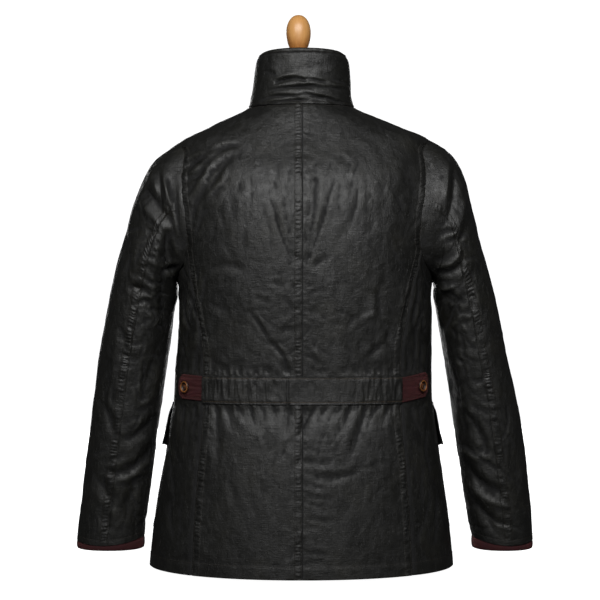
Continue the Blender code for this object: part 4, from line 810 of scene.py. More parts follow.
def edge_places(total, step):
    """Places from 0 to total, close together by both ends, where the seams are."""
    count = max(2, int(round((total - 2 * NEAR_SEAM[-1]) / step)))
    middle = np.linspace(NEAR_SEAM[-1], total - NEAR_SEAM[-1], count + 1)[1:-1]
    return np.concatenate([NEAR_SEAM, middle, (total - NEAR_SEAM)[::-1]])


def graded_places(total, fine, coarse):
    """Places from 0 to total that stand wide apart in the first half and close together in the second."""
    places = [0.0, 0.0012, 0.0035]
    while places[-1] < total - 0.0088:
        places.append(places[-1] + coarse + (fine - coarse) * float(ramp(places[-1] / total, 0.30, 0.55)))
    return np.concatenate([places[:-1], (total - NEAR_SEAM[:-1])[::-1]])


def row_places(run, fine, base, base_total):
    """Moves a row's base places to the row's own width and keeps those near the ends."""
    total = run[-1]
    keep = ramp(np.minimum(base, base_total - base), 0.011, 0.040)
    from_start = np.where(base <= base_total / 2, base, total - (base_total - base))
    return np.interp(from_start + (base * (total / base_total) - from_start) * keep, run, fine)


def body_rows(levels, start, ends, step):
    """Places around the body for each level, spaced along the cloth from a start to each row's end."""
    starts, ends = np.full(len(levels), float(start)), np.asarray(ends, float)
    fine = starts[:, None] + (ends - starts)[:, None] * np.linspace(0, 1, 240)
    run = arc_lengths(plain_body(fine, np.broadcast_to(np.array(levels)[:, None], fine.shape)), 1)
    base_total = float(np.median(run[:, -1]))
    base = edge_places(base_total, step)
    around = np.array([row_places(run[k], fine[k], base, base_total) for k in range(len(levels))])
    return around, np.broadcast_to(np.array(levels)[:, None], around.shape).copy()


def new_object(name, vertices, faces, made, sharp=55.0, flip_check=True):
    """An object of one mesh and one material; one that takes a node's place has its name with an ending."""
    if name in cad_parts:
        name += "_finished"
    mesh = bpy.data.meshes.new(name)
    mesh.from_pydata((np.asarray(vertices) + MIDDLE).tolist(), [], faces)
    if flip_check:
        work = bmesh.new()
        work.from_mesh(mesh)
        bmesh.ops.recalc_face_normals(work, faces=work.faces)
        work.to_mesh(mesh)
        work.free()
    mesh.shade_smooth()
    mesh.set_sharp_from_angle(angle=math.radians(sharp))
    mesh.materials.append(made)
    piece = bpy.data.objects.new(name, mesh)
    bpy.context.scene.collection.objects.link(piece)
    return piece


def mark_points(piece, values, name):
    """Keeps one number for each point of a piece, for its material to read."""
    attribute = piece.data.attributes.new(name, "FLOAT", "POINT")
    attribute.data.foreach_set("value", np.asarray(values, np.float32).ravel())


def set_metres(piece, u, v):
    """A UV map whose unit is a metre of cloth."""
    layer = piece.data.uv_layers.new(name="metres")
    corner = np.zeros(len(piece.data.loops), np.int32)
    piece.data.loops.foreach_get("vertex_index", corner)
    layer.data.foreach_set("uv", np.stack([u[corner], v[corner]], axis=1).astype(np.float32).ravel())


def boundary(rows, columns, closed):
    """The places round each edge of a grid, in order."""
    if closed:
        return [[(i, j) for j in range(columns)] for i in (0, rows - 1)]
    return [[(0, j) for j in range(columns)] + [(i, columns - 1) for i in range(1, rows)]
            + [(rows - 1, j) for j in range(columns - 2, -1, -1)] + [(i, 0) for i in range(rows - 2, 0, -1)]]


def add_shell(name, outer, way, wall, made, closed=False, height=None, seamed=False):
    """A thin closed wall of cloth under a grid of outer points, with a round edge."""
    rows, columns = outer.shape[:2]
    inner = outer - way * wall
    vertices = [outer.reshape(-1, 3), inner.reshape(-1, 3)]
    count = rows * columns
    corners = grid_faces(rows, columns, closed)
    faces = corners.tolist() + (corners[:, ::-1] + count).tolist()
    start = 2 * count
    sources = [np.arange(count), np.arange(count)]
    low, high = (0, columns - 1) if closed else (1, columns - 2)
    for edge in boundary(rows, columns, closed):
        i, j = np.array(edge).T
        out_point, in_point = outer[i, j], inner[i, j]
        push = unit(out_point - outer[np.clip(i, 1, rows - 2), np.clip(j, low, high)])
        thick = np.linalg.norm(out_point - in_point, axis=1, keepdims=True)
        vertices.append((out_point + in_point) / 2 + push * thick * 0.35)
        index = i * columns + j
        size = len(edge)
        for k, (here, after) in enumerate(zip(index.tolist(), np.roll(index, -1).tolist())):
            n = (k + 1) % size
            faces.append([here, after, start + n, start + k])
            faces.append([start + k, start + n, after + count, here + count])
        sources.append(index)
        start += size
    piece = new_object(name, np.concatenate(vertices), faces, made)
    source = np.concatenate(sources)
    set_metres(piece, arc_lengths(outer, 1).ravel()[source], arc_lengths(outer, 0).ravel()[source])
    if height is not None:
        # where the cloth bulges sharply its wax cracks and rubs, and where it breaks inwards the crease is
        # marked for painted shade and a rougher wax
        bend = sum(np.gradient(np.gradient(height, axis=axis), axis=axis) for axis in (0, 1))
        dark = np.clip(bend / 0.00035 - 0.30, 0, 1)
        # both seam edges of a panel get the full painted shade, where the seam's shadow falls
        if seamed:
            dark[:, :2] = dark[:, -2:] = 1
        mark_points(piece, (np.clip(-bend / 0.0006 - 0.25, 0, 1) * 0.45).ravel()[source], "wear")
        mark_points(piece, dark.ravel()[source], "crease")
    return piece


def ring_faces(low, high, sides):
    """The faces between two rings of points."""
    return [[low + k, low + (k + 1) % sides, high + (k + 1) % sides, high + k] for k in range(sides)]


def stack_faces(rings, sides):
    """The faces of a stack of rings, closed at both ends."""
    faces = [face for k in range(rings - 1) for face in ring_faces(k * sides, (k + 1) * sides, sides)]
    return faces + [list(range(sides))[::-1], list(range((rings - 1) * sides, rings * sides))]


def add_lathe(name, profile, sides, made, place=(0, 0, 0), way=None, sharp=40.0):
    """A solid turned from (radius, height) pairs, from its axis back to its axis."""
    angles = np.linspace(0, 2 * np.pi, sides, endpoint=False)
    vertices = [(0.0, 0.0, profile[0][1])]
    for radius, height in profile[1:-1]:
        vertices += [(radius * math.cos(a), radius * math.sin(a), height) for a in angles]
    vertices.append((0.0, 0.0, profile[-1][1]))
    rings = len(profile) - 2
    top = 1 + (rings - 1) * sides
    faces = [[0, 1 + (k + 1) % sides, 1 + k] for k in range(sides)]
    for ring in range(rings - 1):
        faces += ring_faces(1 + ring * sides, 1 + (ring + 1) * sides, sides)
    faces += [[top + k, top + (k + 1) % sides, len(vertices) - 1] for k in range(sides)]
    vertices = np.array(vertices)
    if way is not None:
        vertices = vertices @ np.array(Vector((0, 0, 1)).rotation_difference(Vector(way)).to_matrix()).T
    return new_object(name, vertices + np.array(place), faces, made, sharp)


def finish_cloth(piece, slot, plain, ease=1.0):
    """Sets the body of a piece of cloth that takes a node's place and hides that node; its width, length and
    area are worked out but not kept.
    """
    finish_hard(piece, slot, piece.name.removesuffix("_finished"))
    width = float(arc_lengths(plain, 1)[:, -1].max()) * ease
    length = float(arc_lengths(plain, 0)[-1].max())
    area = min(grid_area(plain) * ease, width * length)


def finish_hard(piece, slot, *nodes):
    """Sets the body and hides the nodes whose place a piece takes; the slot is not used."""
    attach(piece, ROOT)
    if nodes:
        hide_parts(*nodes)


# ---- stitches ----
def add_stitches(name, lines, thread="thread_dark", slot="waxed_cotton"):
    """Small bars of thread along lines of (points, ways)."""
    half_pitch, thick = settings()[0].stitch / 2, 0.00055
    vertices, faces = [], []
    for points, ways in lines:
        run = line_run(points)
        places = np.arange(0, run[-1], half_pitch)
        centre, up = on_line(points, run, places), unit(on_line(ways, run, places))
        for k in range(0, len(centre) - 2, 2):
            a = centre[k]
            b = a + (centre[k + 2] - a) * 0.80
            side = np.cross(up[k], b - a)
            side = side / max(float(np.linalg.norm(side)), 1e-9)
            base = len(vertices)
            for point, rise, wide in ((a, -0.35, 0.5), ((a + b) / 2, 0.55, 1.0), (b, -0.35, 0.5)):
                middle = point + up[k] * thick * rise
                vertices += [middle + way * thick / 2 * wide for way in (side, up[k], -side, -up[k])]
            faces += [[base + index for index in face] for face in stack_faces(3, 4)]
    finish_hard(new_object(name, np.array(vertices), faces, material(thread), sharp=60.0), slot)


def edge_lines(outer, way, up=(), across=(), arcs=None):
    """Lines up or across a grid at distances from its first column or row, or from the last if negative."""
    lines = []
    for points, ways, distances in ((outer, way, up), (outer.swapaxes(0, 1), way.swapaxes(0, 1), across)):
        runs = arc_lengths(points, 1) if arcs is None else arcs
        for distance in distances:
            places = distance + (runs[:, -1] if distance < 0 else 0 * runs[:, 0])
            spots, turns = (np.array([on_line(line, runs[i], places[i]) for i, line in enumerate(grid)])
                            for grid in (points, ways))
            lines.append((spots + turns * 0.0002, turns))
    return lines


# ---- materials ----
WAVE_METRE = 0.31416     # the scale of a wave texture whose bands stand a metre apart


def linear(hex_color, share=1.0):
    """An sRGB hex colour, darkened to a share of itself, as linear red, green, blue and alpha."""
    values = [int(hex_color[k:k + 2], 16) / 255 for k in (1, 3, 5)]
    return tuple(share * (v / 12.92 if v <= 0.04045 else ((v + 0.055) / 1.055) ** 2.4)
                 for v in values) + (1.0,)


def add_node(tree, kind, settings=None, links=None, stops=()):
    """Adds a node; settings name its attributes or inputs, links its inputs and what feeds them.

    A node among the links stands for its first output. The stops of a colour ramp are (place, colour) pairs.
    """
    node = tree.nodes.new("ShaderNode" + kind)
    for name, value in (settings or {}).items():
        if isinstance(name, str) and hasattr(node, name):
            setattr(node, name, value)
        else:
            node.inputs[name].default_value = value
    for name, source in (links or {}).items():
        tree.links.new(source if hasattr(source, "is_output") else source.outputs[0], node.inputs[name])
    for _ in stops[2:]:
        node.color_ramp.elements.new(0.5)
    for element, (place, color) in zip(node.color_ramp.elements if stops else (), stops):
        element.position, element.color = place, color
    return node


def waxed_cotton_calendered(add):
    """Calendered and waxed cotton: satin, nearly black, cracked and a little greyer where it creases, with
    painted shade down in the creases.
    """
    cloth = settings()[0]
    place = add("TexCoord")
    metres, uv = {"Vector": place.outputs["Object"]}, {"Vector": place.outputs["UV"]}
    # patches of thicker and thinner wax, about 60 mm across
    patch = add("TexNoise", {"Scale": 1 / 0.060, "Detail": 5.0, "Roughness": 0.6}, metres)
    wax = add("ValToRGB", links={"Fac": patch}, stops=(
        (0.30, linear("#0f0f0e")), (0.55, linear(cloth.color)), (0.80, linear("#1c1b16"))))
    wear, crease = (add("Attribute", {"attribute_name": name}).outputs["Fac"] for name in ("wear", "crease"))
    fleck = add("TexNoise", {"Scale": 1 / 0.0035, "Detail": 3.0}, metres)
    worn = add("Math", {"operation": "MULTIPLY"}, {0: wear, 1: fleck})
    base = add("Mix", {"data_type": "RGBA", 7: linear(cloth.rub)}, {0: worn, 6: wax})
    # roughness wanders with the wax film, and the wax is rougher in the creases and along the seam edges
    film = add("TexNoise", {"Scale": 1 / 0.012, "Detail": 4.0}, metres)
    rough = add("MapRange", {"From Min": 0.3, "From Max": 0.7, "To Min": cloth.roughness - 0.07,
                             "To Max": cloth.roughness + 0.10}, {"Value": film})
    dull = add("Math", {"operation": "MULTIPLY_ADD", 1: 0.35, "use_clamp": True}, {0: crease, 2: rough})
    # painted shade: the colour goes nearly to black in the creases and along the seam edges
    crease_painted_shade = add("Mix", {"data_type": "RGBA", 7: linear("#080808")}, {0: crease, 6: base.outputs[2]})
    # it is duller again over the skirt, which rubs on seats and saddles
    height = add("SeparateXYZ", links=metres)
    skirt = add("MapRange", {"From Min": 0.26, "From Max": 0.40, "To Min": 0.03, "To Max": 0.0},
                {"Value": height.outputs["Z"]})
    gloss = add("Math", {"operation": "ADD"}, {0: dull, 1: skirt})
    # crumpled wax: flat facets 10 to 50 mm long, each leaning its own way, with sharp creases between
    bend = add("TexNoise", {"Scale": 1 / 0.018, "Detail": 2.0}, metres)
    bent = add("VectorMath", {"operation": "MULTIPLY_ADD", 1: (0.007, 0.007, 0.007)},
               {0: bend.outputs["Color"], 2: place.outputs["Object"]})
    relief = {}
    for lean, across, along, slope, lot in ((0.25, 0.020, 0.052, 0.11, 3.0), (-0.75, 0.014, 0.040, 0.10, 5.0),
                                            (1.25, 0.009, 0.022, 0.09, 7.0)):
        drawn = add("Mapping", {"vector_type": "POINT", "Rotation": (0, lean, 0),
                                "Scale": (1 / across, 1 / across, 1 / along)}, {"Vector": bent})
        cell = add("TexVoronoi", {"Scale": 1.0}, {"Vector": drawn})
        inside = add("VectorMath", {"operation": "SUBTRACT"}, {0: drawn, 1: cell.outputs["Position"]})
        tilt = add("VectorMath", {"operation": "SUBTRACT", 1: (0.5, 0.5, 0.5)}, {0: cell.outputs["Color"]})
        facet = add("VectorMath", {"operation": "DOT_PRODUCT"}, {0: inside, 1: tilt})
        area = add("TexNoise", {"noise_dimensions": "4D", "Scale": 1 / 0.045, "Detail": 1.0, "W": lot},
                   metres)
        mask = add("MapRange", {"From Min": 0.38, "From Max": 0.62}, {"Value": area})
        shown = add("Math", {"operation": "MULTIPLY"}, {0: facet.outputs["Value"], 1: mask})
        relief = {"Normal": add("Bump", {"Strength": 1.0, "Distance": across * slope},
                                {"Height": shown, **relief})}
    # slubs: threads that run thick for 10 mm, both ways of the weave, 1.3 mm apart
    for size in ((0.0013, 0.0013, 0.0120), (0.0120, 0.0120, 0.0013)):
        stretched = add("Mapping", {"vector_type": "POINT", "Scale": tuple(1 / value for value in size)},
                        metres)
        slub = add("TexNoise", {"Scale": 1.0, "Detail": 1.0}, {"Vector": stretched})
        relief = {"Normal": add("Bump", {"Strength": 0.6, "Distance": 0.00042},
                                {"Height": slub, **relief})}
    small = add("TexNoise", {"Scale": 1 / 0.0060, "Detail": 5.0, "Roughness": 0.65}, {"Vector": bent})
    relief = {"Normal": add("Bump", {"Strength": 0.7, "Distance": 0.0010}, {"Height": small, **relief})}
    # the weave, 0.5 mm between threads, drawn at 1.1 mm so that it shows
    warp, weft = (add("TexWave", {"bands_direction": way, "Scale": WAVE_METRE / 0.00108535}, uv)
                  .outputs["Fac"] for way in ("X", "Y"))
    weave = add("Math", {"operation": "MULTIPLY"}, {0: warp, 1: weft})
    relief = add("Bump", {"Strength": 0.25, "Distance": 0.00012}, {"Height": weave, **relief})
    return add("BsdfPrincipled", {"IOR": 1.45, "Specular IOR Level": 0.5},
               {"Base Color": crease_painted_shade.outputs[2], "Roughness": gloss, "Normal": relief})


def needlecord_cut_pile(add):
    """Cut-pile needlecord: soft upright ribs with painted shade between them and the pile's own colour on
    their tops.
    """
    trim = settings()[1]
    place = add("TexCoord")
    metres = {"Vector": place.outputs["Object"]}
    ribs = add("TexWave", {"bands_direction": "X", "Scale": WAVE_METRE / trim.wale},
               {"Vector": place.outputs["UV"]})
    rubbed = add("TexNoise", {"Scale": 1 / 0.009, "Detail": 4.0}, metres)
    # painted shade between the ribs, darker than the pile's colour on their tops
    ribs_painted_shade = add("ValToRGB", links={"Fac": ribs.outputs["Fac"]}, stops=(
        (0.0, linear("#1c090b")), (0.75, linear(trim.cord_color))))
    faded = add("Mix", {"data_type": "RGBA", "blend_type": "MULTIPLY", 0: 0.5},
                {6: ribs_painted_shade, 7: rubbed.outputs["Color"]})
    pile = add("TexNoise", {"Scale": 1 / 0.0006, "Detail": 2.0}, metres)
    rib = add("Bump", {"Strength": 0.8, "Distance": 0.0005}, {"Height": ribs.outputs["Fac"]})
    nap = add("Bump", {"Strength": 0.4, "Distance": 0.0002}, {"Height": pile, "Normal": rib})
    return add("BsdfPrincipled", {"Roughness": 0.85, "Sheen Weight": 0.35, "Sheen Roughness": 0.4,
                                  "Specular IOR Level": 0.25, "Sheen Tint": linear("#8a4a48")},
               {"Base Color": faded.outputs[2], "Normal": nap})


def thread_spun(add, hex_color):
    """Waxed spun polyester thread: matt, with the twist too fine to see."""
    metres = {"Vector": add("TexCoord").outputs["Object"]}
    fuzz = add("TexNoise", {"Scale": 1 / 0.0008, "Detail": 2.0}, metres)
    tone = add("ValToRGB", links={"Fac": fuzz}, stops=(
        (0.3, linear(hex_color, 0.6)), (0.7, linear(hex_color))))
    return add("BsdfPrincipled", {"Roughness": 0.6}, {"Base Color": tone})


def horn_polished(add, low, high):
    """Polished horn: streaks of brown under a hard gloss."""
    drawn = add("Mapping", {"Scale": (1.0, 1.0, 0.2)}, {"Vector": add("TexCoord").outputs["Object"]})
    streak = add("TexNoise", {"Scale": 1 / 0.0025, "Detail": 5.0, "Distortion": 1.2}, {"Vector": drawn})
    tone = add("ValToRGB", links={"Fac": streak}, stops=((0.32, linear(low)), (0.68, linear(high))))
    bump = add("Bump", {"Strength": 0.15, "Distance": 0.0002}, {"Height": streak})
    return add("BsdfPrincipled", {"Roughness": 0.50, "IOR": 1.45, "Coat Weight": 0.08,
                                  "Coat Roughness": 0.35}, {"Base Color": tone, "Normal": bump})


def brass_stamped(add):
    """Stamped brass, aged: warm and satin, with small random patches of darker tarnish."""
    metres = {"Vector": add("TexCoord").outputs["Object"]}
    tarnish = add("TexNoise", {"Scale": 1 / 0.002, "Detail": 5.0}, metres)
    tone = add("ValToRGB", links={"Fac": tarnish}, stops=(
        (0.35, linear("#5e4622")), (0.65, linear(settings()[1].brass_color))))
    rough = add("MapRange", {"To Min": 0.25, "To Max": 0.5}, {"Value": tarnish})
    return add("BsdfPrincipled", {"Metallic": 1.0}, {"Base Color": tone, "Roughness": rough})


def jersey_knitted(add):
    """Black cotton jersey stretched over a form: matt, with fine knit ribs 1.2 mm apart."""
    metres = {"Vector": add("TexCoord").outputs["Object"]}
    ribs = add("TexWave", {"bands_direction": "X", "Scale": WAVE_METRE / 0.0012, "Distortion": 0.6}, metres)
    lint = add("TexNoise", {"Scale": 1 / 0.003, "Detail": 4.0}, metres)
    tone = add("ValToRGB", links={"Fac": lint}, stops=((0.3, linear("#101011")), (0.75, linear("#1b1b1d"))))
    bump = add("Bump", {"Strength": 0.4, "Distance": 0.0002}, {"Height": ribs.outputs["Fac"]})
    return add("BsdfPrincipled", {"Roughness": 0.9, "Sheen Weight": 0.2},
               {"Base Color": tone, "Normal": bump})


def beech_varnished(add):
    """Turned beech under satin varnish: warm tan, fine long grain and short dark flecks."""
    metres = {"Vector": add("TexCoord").outputs["Object"]}
    drawn = {"Vector": add("Mapping", {"Scale": (1.0, 1.0, 0.12)}, metres)}
    grain = add("TexNoise", {"Scale": 1 / 0.0035, "Detail": 6.0, "Roughness": 0.6}, drawn)
    rings = add("TexWave", {"wave_type": "RINGS", "rings_direction": "X", "Scale": 1 / 0.030,
                            "Distortion": 3.0, "Detail": 2.0}, drawn)
    both = add("Math", {"operation": "ADD"}, {0: grain, 1: rings.outputs["Fac"]})
    half = add("Math", {"operation": "MULTIPLY", 1: 0.5}, {0: both})
    tone = add("ValToRGB", links={"Fac": half}, stops=(
        (0.25, linear("#a06a34")), (0.50, linear("#bb8449")), (0.75, linear("#cc9658"))))
    return add("BsdfPrincipled", {"Roughness": 0.42, "Coat Weight": 0.35, "Coat Roughness": 0.25},
               {"Base Color": tone})


def board_painted(add):
    """Matt painted studio board, plain and pale."""
    return add("BsdfPrincipled", {
        "Roughness": 0.9, "Specular IOR Level": 0.1, "Base Color": linear(settings()[2].floor_color),
        "Emission Color": (1.0, 1.0, 1.0, 1.0), "Emission Strength": 1.0})


WAXED, NEEDLECORD, BEECH = "waxed_cotton_calendered", "needlecord_cut_pile", "beech_turned_varnished"
MATERIALS = {
    WAXED: waxed_cotton_calendered,
    NEEDLECORD: needlecord_cut_pile,
    "thread_dark": lambda add: thread_spun(add, settings()[1].thread_color),
    "thread_tan": lambda add: thread_spun(add, settings()[1].edge_thread_color),
    "horn_dark": lambda add: horn_polished(add, "#170c07", "#3a2113"),
    "horn_amber": lambda add: horn_polished(add, "#4f2b12", "#a0632d"),
    "horn_brown": lambda add: horn_polished(add, "#3a1d0d", "#6b3c1d"),
    "brass_stamped_aged": brass_stamped,
    "jersey_knitted_black": jersey_knitted,
    BEECH: beech_varnished,
    "studio_board_painted": board_painted,
}


def material(name):
    """A material of the list above, made when it is first asked for."""
    made = bpy.data.materials.get(name)
    if made is None:
        made = bpy.data.materials.new(name)
        made.use_nodes = True
        made.node_tree.nodes.clear()
        add = partial(add_node, made.node_tree)
        add("OutputMaterial", links={"Surface": MATERIALS[name](add)})
    return made


# ---- panels ----
def back_edge(level, side):
    """How far the back panel reaches at a level: side-back seam, armhole, then shoulder ridge."""
    join = float(armhole_level(JOIN_TURN))
    if level < join - 1e-6:
        met = abs(float(plain_body(armhole_around(JOIN_TURN, side), join)[0]))
        to_armhole = (met - SIDE_BACK_SEAM[-1].x) * float(ramp(level, SEAM_BEND, join))
        return float(column(SIDE_BACK_SEAM, "x", level)) + to_armhole
    return armhole_x(level, side, 1) if level < TIP - 1e-6 else float(section(level)[side])


def panel_levels(step):
    """Heights of the rows: the hem, the neck, the shoulder tip and even steps between."""
    low = np.linspace(HEM, TIP, int((TIP - HEM) / step))
    flat_top = armhole_level(np.arange(27.0, 0.0, -3.0))
    high = np.linspace(TIP, NECK - 0.0002, int((NECK - TIP) / (step * 0.5)))
    return np.concatenate([low[low < flat_top[0] - step / 2], flat_top, high])


def inset(points):
    """Draws the first and last column in by half a seam gap."""
    grid = points.copy()
    for edge, inside in ((0, 1), (-1, -2)):
        grid[:, edge] += unit(points[:, inside] - points[:, edge]) * SEAM / 2
    return grid


def add_panel(name, around, level, heights):
    """A panel of the body with its folds and, on top of them, heights of its own."""
    plain, way = plain_body(around, level), body_way(around, level)
    height = body_height(plain, level) + heights
    outer = inset(plain + way * height[..., None])
    piece = add_shell(name, outer, way, settings()[0].wall, material(WAXED), height=height, seamed=True)
    finish_cloth(piece, "waxed_cotton", plain)
    return outer, way


def hem_height(level):
    """The turned hem: two thicknesses below its stitch line, and a dip at the stitches."""
    up = level - HEM
    return 0.0005 * (1 - ramp(up, 0.019, 0.0215)) - 0.0004 * bell(up - HEM_STITCH, 0.0016)


def body_seam(away, up, level, seed, strength):
    """The puckers of a seam that runs on into the armhole; they fade on the shoulder."""
    return seam_height(away, up[:, -1:], seed, strength) * (1 - ramp(level, TIP - 0.012, TIP + 0.004))


def build_back(side):
    name, step, seed = "back_" + side, settings()[0].mesh_step, {"left": 40, "right": 60}[side]
    levels = panel_levels(step)
    ends = [float(degrees_at(back_edge(level, side), level, side, 1)) for level in levels]
    around, level = body_rows(levels, 90.0, ends, step)
    plain = plain_body(around, level)
    arcs, up = arc_lengths(plain, 1), arc_lengths(plain, 0)
    away = arcs[:, -1:] - arcs
    heights = (seam_height(arcs, level, 90) + body_seam(away, up, level, seed, 1.1)
               # the felled edge of the armhole stands up over the sleeve
               + armhole_raise(level) * np.clip(1 - away / 0.022, 0, 1) ** 1.5
               - 0.0009 * bell(up[-1:] - up, 0.002) + hem_height(level))
    outer, way = add_panel(name, around, level, heights * ramp(from_band(level), 0.018, 0.026))
    lines = []
    for part, rows in (("skirt", levels < BAND_LOW - 0.001), ("upper", levels > BAND_HIGH + 0.001)):
        if side == "left":
            lines += add_seam_strip("centre_seam_" + part, outer[rows], way[rows], seed + 5,
                                    strength=0.65)
        rows = rows & (levels < TIP - 0.012)
        lines += add_seam_strip("seam_%s_%s" % (name, part), outer[rows], way[rows], seed + 9, True,
                                0.85, WIDE_STRIP)
    add_stitches("stitches_" + name, lines + edge_lines(outer, way, across=(HEM_STITCH, -0.0030)))


def build_side(side):
    name, step, seed = "side_" + side, settings()[0].mesh_step, {"left": 120, "right": 140}[side]
    join = float(armhole_level(JOIN_TURN))
    turns = np.linspace(JOIN_TURN, 180, 36)
    tops, top_arounds = armhole_level(turns), armhole_around(turns, side)
    share = (top_arounds - top_arounds[0]) / (top_arounds[-1] - top_arounds[0])
    even = np.linspace(0, 1, len(turns))
    around, level = [], []
    for row in np.concatenate([np.linspace(HEM, SEAM_BEND, int((SEAM_BEND - HEM) / step)),
                               np.linspace(SEAM_BEND, join, int((join - SEAM_BEND) / step))[1:]]):
        first = float(degrees_at(back_edge(row, side), row, side, 1))
        last = float(degrees_at_depth(SIDE_SEAM_Y, row, side))
        rise = max(0.0, (row - SEAM_BEND) / (join - SEAM_BEND))
        around.append(first + (last - first) * (even + (share - even) * rise))
        level.append(np.full(len(turns), row) if rise == 0 else SEAM_BEND + (tops - SEAM_BEND) * rise)
    around, level = np.array(around), np.array(level)
    around[-1] = top_arounds
    plain = plain_body(around, level)
    arcs, up = arc_lengths(plain, 1), arc_lengths(plain, 0)
    heights = (seam_height(arcs, up, seed, 0.9) + seam_height(arcs[:, -1:] - arcs, up, seed + 9, 0.6)
               + seam_height(up[-1:] - up, arcs, seed + 17, 0.8) + hem_height(level))
    outer, way = add_panel(name, around, level, heights * ramp(from_band(level), 0.018, 0.026))
    add_stitches("stitches_" + name, edge_lines(outer, way, across=(HEM_STITCH,)))


def build_front(side):
    name, step, seed = "front_" + side, settings()[0].mesh_step * 1.7, {"left": 160, "right": 180}[side]
    levels = np.unique(np.concatenate([panel_levels(step), [UNDERARM]]))
    ends = []
    for level in levels:
        if level < UNDERARM:
            ends.append(float(degrees_at_depth(SIDE_SEAM_Y, level, side)))
        elif level < TIP - 1e-6:
            ends.append(float(degrees_at(armhole_x(level, side, -1), level, side, -1)))
        else:
            ends.append(mirror(0.0, side))
    around, level = body_rows(levels, mirror(-90.0, side), ends, step)
    plain = plain_body(around, level)
    arcs, up = arc_lengths(plain, 1), arc_lengths(plain, 0)
    heights = (body_seam(arcs[:, -1:] - arcs, up, level, seed, 0.9)
               - 0.0009 * bell(up[-1:] - up, 0.002) + hem_height(level))
    outer, way = add_panel(name, around, level, heights)
    rows = (levels > UNDERARM) & (levels < TIP + 0.001)
    lines = add_seam_strip("armhole_seam_" + name, outer[rows], way[rows], seed + 9, True)
    add_stitches("stitches_" + name, lines + edge_lines(outer, way, across=(HEM_STITCH,)))


def build_fly():
    """The fly, a plain strip over the opening of the fronts."""
    wall = settings()[0].wall
    levels, x = np.linspace(HEM + 0.003, NECK - 0.003, 150), np.linspace(-FLY_HALF, FLY_HALF, 16)
    x, level = np.meshgrid(x, levels)
    right = degrees_at(x, level, "right", -1)
    around = np.where(x >= 0, degrees_at(x, level, "left", -1), right - 360 * (right > 180))
    outer, way = body_out(around, level, FLY_LIE + wall), body_way(around, level)
    arcs = arc_lengths(outer, 1)
    away = np.minimum(arcs, arcs[:, -1:] - arcs)
    height = (0.0009 * noise(201, level / 0.007, away / 0.02, 0.5) * bell(away, 0.012)
              - 0.0004 * bell(away - 0.005, 0.001))
    outer = outer + way * np.maximum(height, -0.0006)[..., None]
    piece = add_shell("front_fly", outer, way, wall * 0.8, material(WAXED))
    finish_cloth(piece, "waxed_cotton", plain_body(around, level))
    add_stitches("stitches_fly", edge_lines(outer, way, up=(0.005, -0.005), arcs=arcs))


# ---- collar ----
def plain_collar(around, rise):
    """The stand of the collar without its folds; rise goes from 0 at the neck to 1 at the top."""
    cosine, sine = turned(around)
    front = np.maximum(0, -sine) ** 2
    neck = section(NECK)
    base = NECK - neck["drop"] * front - neck["lean"] * cosine + LIE
    top = COLLAR_TOP + (COLLAR_TOP_FRONT - COLLAR_TOP) * front
    stand = {name: column(COLLAR, name, rise, "rise") for name in Stand._fields[1:]}
    return oval(around, COLLAR_SQUARE, base + (top - base) * rise, **stand)


def build_collar():
    """The collar, creased round, with its bound edge rolled in."""
    cloth = settings()[0]
    around, rise = np.meshgrid(
        np.concatenate([np.linspace(-90 + COLLAR_GAP, 0, 36)[:-1], np.linspace(0, 180, 130),
                        np.linspace(180, 270 - COLLAR_GAP, 36)[1:]]),
        np.concatenate([np.linspace(0, 0.5, 33)[:-1], np.linspace(0.5, 0.8, 13),
                        [0.825, 0.85, 0.87, 0.89, 0.91, 0.925, 0.94, 0.955, 0.97, 0.985, 1.0]]))
    plain, way = plain_collar(around, rise), outward(plain_collar, around, rise, (0.05, 0.002))
    x, y, z = np.moveaxis(plain, -1, 0)
    arcs, up = arc_lengths(plain, 1), arc_lengths(plain, 0)
    from_top = up[-1:] - up
    creases = small_folds(COLLAR_FOLDS, x, z, SHARP) + small_folds(strewn(COLLAR_FIELDS, 14), x, z, SHARP)
    height = (creases * ramp(y, 0.0, 0.020)
              + crumples(plain, (0.7, 0.7, 1.3), ((0.022, 211, 0.6), (0.011, 212, 0.3)))
              + seam_height(up, arcs, 221, 0.5))
    # the bound edge: a roll above a stitched groove
    height += 0.0008 * ramp(-from_top, -0.0068, -0.0050) - 0.0006 * bell(from_top - COLLAR_STITCH, 0.0012)
    height += 0.0006 * noise(222, arcs / 0.006, from_top / 0.02, 0.5) * bell(from_top, 0.012)
    height -= 0.0016 * (1 - np.sqrt(np.clip(from_top / 0.0022, 0, 1)))
    # the collar's top rolls in and drops at both sides
    roll = np.clip(1 - from_top / 0.018, 0, 1) * np.abs(turned(around)[0])
    height -= 0.0105 * (1 - np.sqrt(1 - np.minimum(roll, 0.995) ** 2))
    outer = plain + way * height[..., None]
    piece = add_shell("collar", outer, way, cloth.wall * 1.4, material(WAXED), height=height)
    finish_cloth(piece, "waxed_cotton", plain)
    add_stitches("stitches_collar", edge_lines(outer, way, across=(-COLLAR_STITCH, 0.0030)))


